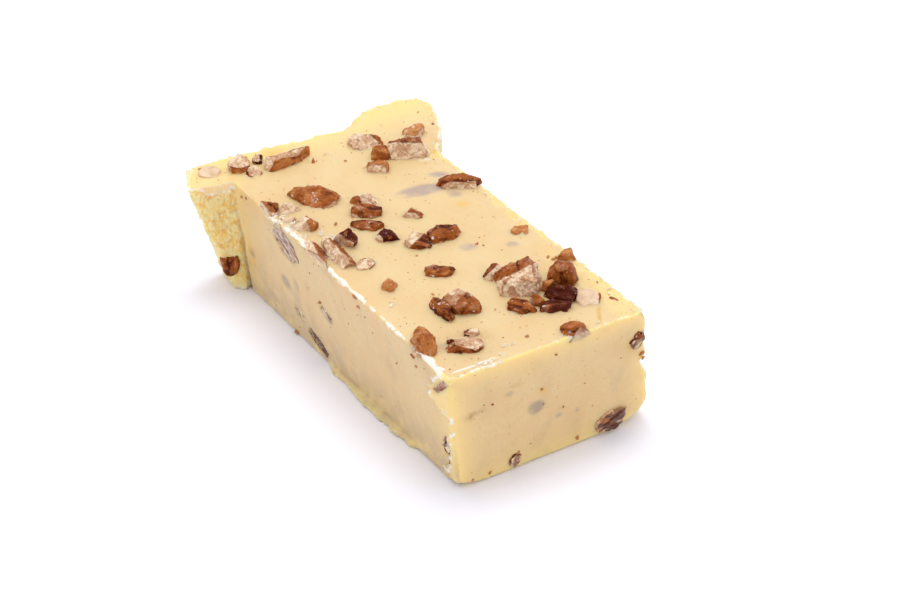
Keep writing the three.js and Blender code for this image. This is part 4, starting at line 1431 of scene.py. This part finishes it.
def add_lights(look, scene):
    """A white sky, a soft lamp overhead and the small lamps, each of which points at the bar."""
    world = bpy.data.worlds.new("studio")
    world.use_nodes = True
    background = world.node_tree.nodes["Background"]
    background.inputs["Color"].default_value = SKY_COLOUR
    background.inputs["Strength"].default_value = look.sky
    scene.world = world

    lamp = bpy.data.lights.new("soft_light", "AREA")
    lamp.shape = "RECTANGLE"
    lamp.size, lamp.size_y = LAMP_SIZE
    lamp.energy = look.lamp
    light = add_object("soft_light", lamp)
    light.location = LAMP_PLACE
    light.rotation_euler = (0, LAMP_TILT, 0)
    for name, place in GLINT_LAMPS.items():
        small = bpy.data.lights.new(name, "AREA")
        small.size = GLINT_SIZE
        small.energy = look.glint
        glint = add_object(name, small)
        glint.location = place
        glint.rotation_euler = Vector(place).to_track_quat("Z", "Y").to_euler()


def add_camera(look, scene):
    """The camera on its bearing and height, at its distance from the target."""
    camera = bpy.data.cameras.new("camera")
    camera.lens = look.lens
    camera.sensor_width = SENSOR_WIDTH
    camera.clip_start = CLIP_START
    turn, rise = look.turn, look.rise
    back = np.array([math.sin(turn) * math.cos(rise), -math.cos(turn) * math.cos(rise), math.sin(rise)])
    side = np.array([math.cos(turn), math.sin(turn), 0.0])
    place = np.array(look.target) + back * look.distance
    view = add_object("camera", camera)
    rows = np.column_stack([side, np.cross(back, side), back, place])
    view.matrix_world = Matrix([*rows.tolist(), (0, 0, 0, 1)])
    scene.camera = view


class FUDGE_OT_stage(Operator):
    """Set up the floor, the soft light and the camera"""

    bl_idname = "fudge.stage"
    bl_label = "Stage"

    def execute(self, context):
        look = context.scene.fudge_stage
        add_floor(look)
        add_lights(look, context.scene)
        add_camera(look, context.scene)
        context.scene.view_settings.view_transform = "Standard"
        return {"FINISHED"}


class FUDGE_PT_sidebar(Panel):
    """Buttons and values of the fudge"""

    bl_label = "Pecan Fudge"
    bl_idname = "FUDGE_PT_sidebar"
    bl_space_type = "VIEW_3D"
    bl_region_type = "UI"
    bl_category = "Fudge"

    def draw(self, context):
        for operator, settings in STEPS:
            self.layout.operator(operator.bl_idname)
            box = self.layout.box()
            group = getattr(context.scene, settings)
            for key in group.__annotations__:
                box.prop(group, key)


GROUPS = {
    "fudge_bar": BarSizes,
    "fudge_look": FudgeLook,
    "fudge_pecan": PecanLook,
    "fudge_crumbs": CrumbSizes,
    "fudge_stage": StageLook,
}
# Each operator in order, with the group of values that the panel shows under it
STEPS = (
    (FUDGE_OT_bar, "fudge_bar"),
    (FUDGE_OT_pecans, "fudge_pecan"),
    (FUDGE_OT_flakes, "fudge_look"),
    (FUDGE_OT_crumbs, "fudge_crumbs"),
    (FUDGE_OT_stage, "fudge_stage"),
)


def register():
    """Adds the groups, operators and panel to Blender."""
    for name, group in GROUPS.items():
        bpy.utils.register_class(group)
        setattr(bpy.types.Scene, name, PointerProperty(type=group))
    for operator, _ in STEPS:
        bpy.utils.register_class(operator)
    bpy.utils.register_class(FUDGE_PT_sidebar)


def unregister():
    """Takes them out again."""
    bpy.utils.unregister_class(FUDGE_PT_sidebar)
    for operator, _ in STEPS:
        bpy.utils.unregister_class(operator)
    for name, group in GROUPS.items():
        delattr(bpy.types.Scene, name)
        bpy.utils.unregister_class(group)


def main():
    """Builds the fudge and its stage in order."""
    register()
    bpy.ops.fudge.bar()
    bpy.ops.fudge.pecans()
    bpy.ops.fudge.flakes()
    bpy.ops.fudge.crumbs()
    bpy.ops.fudge.stage()
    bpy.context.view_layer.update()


if __name__ == "__main__":
    main()
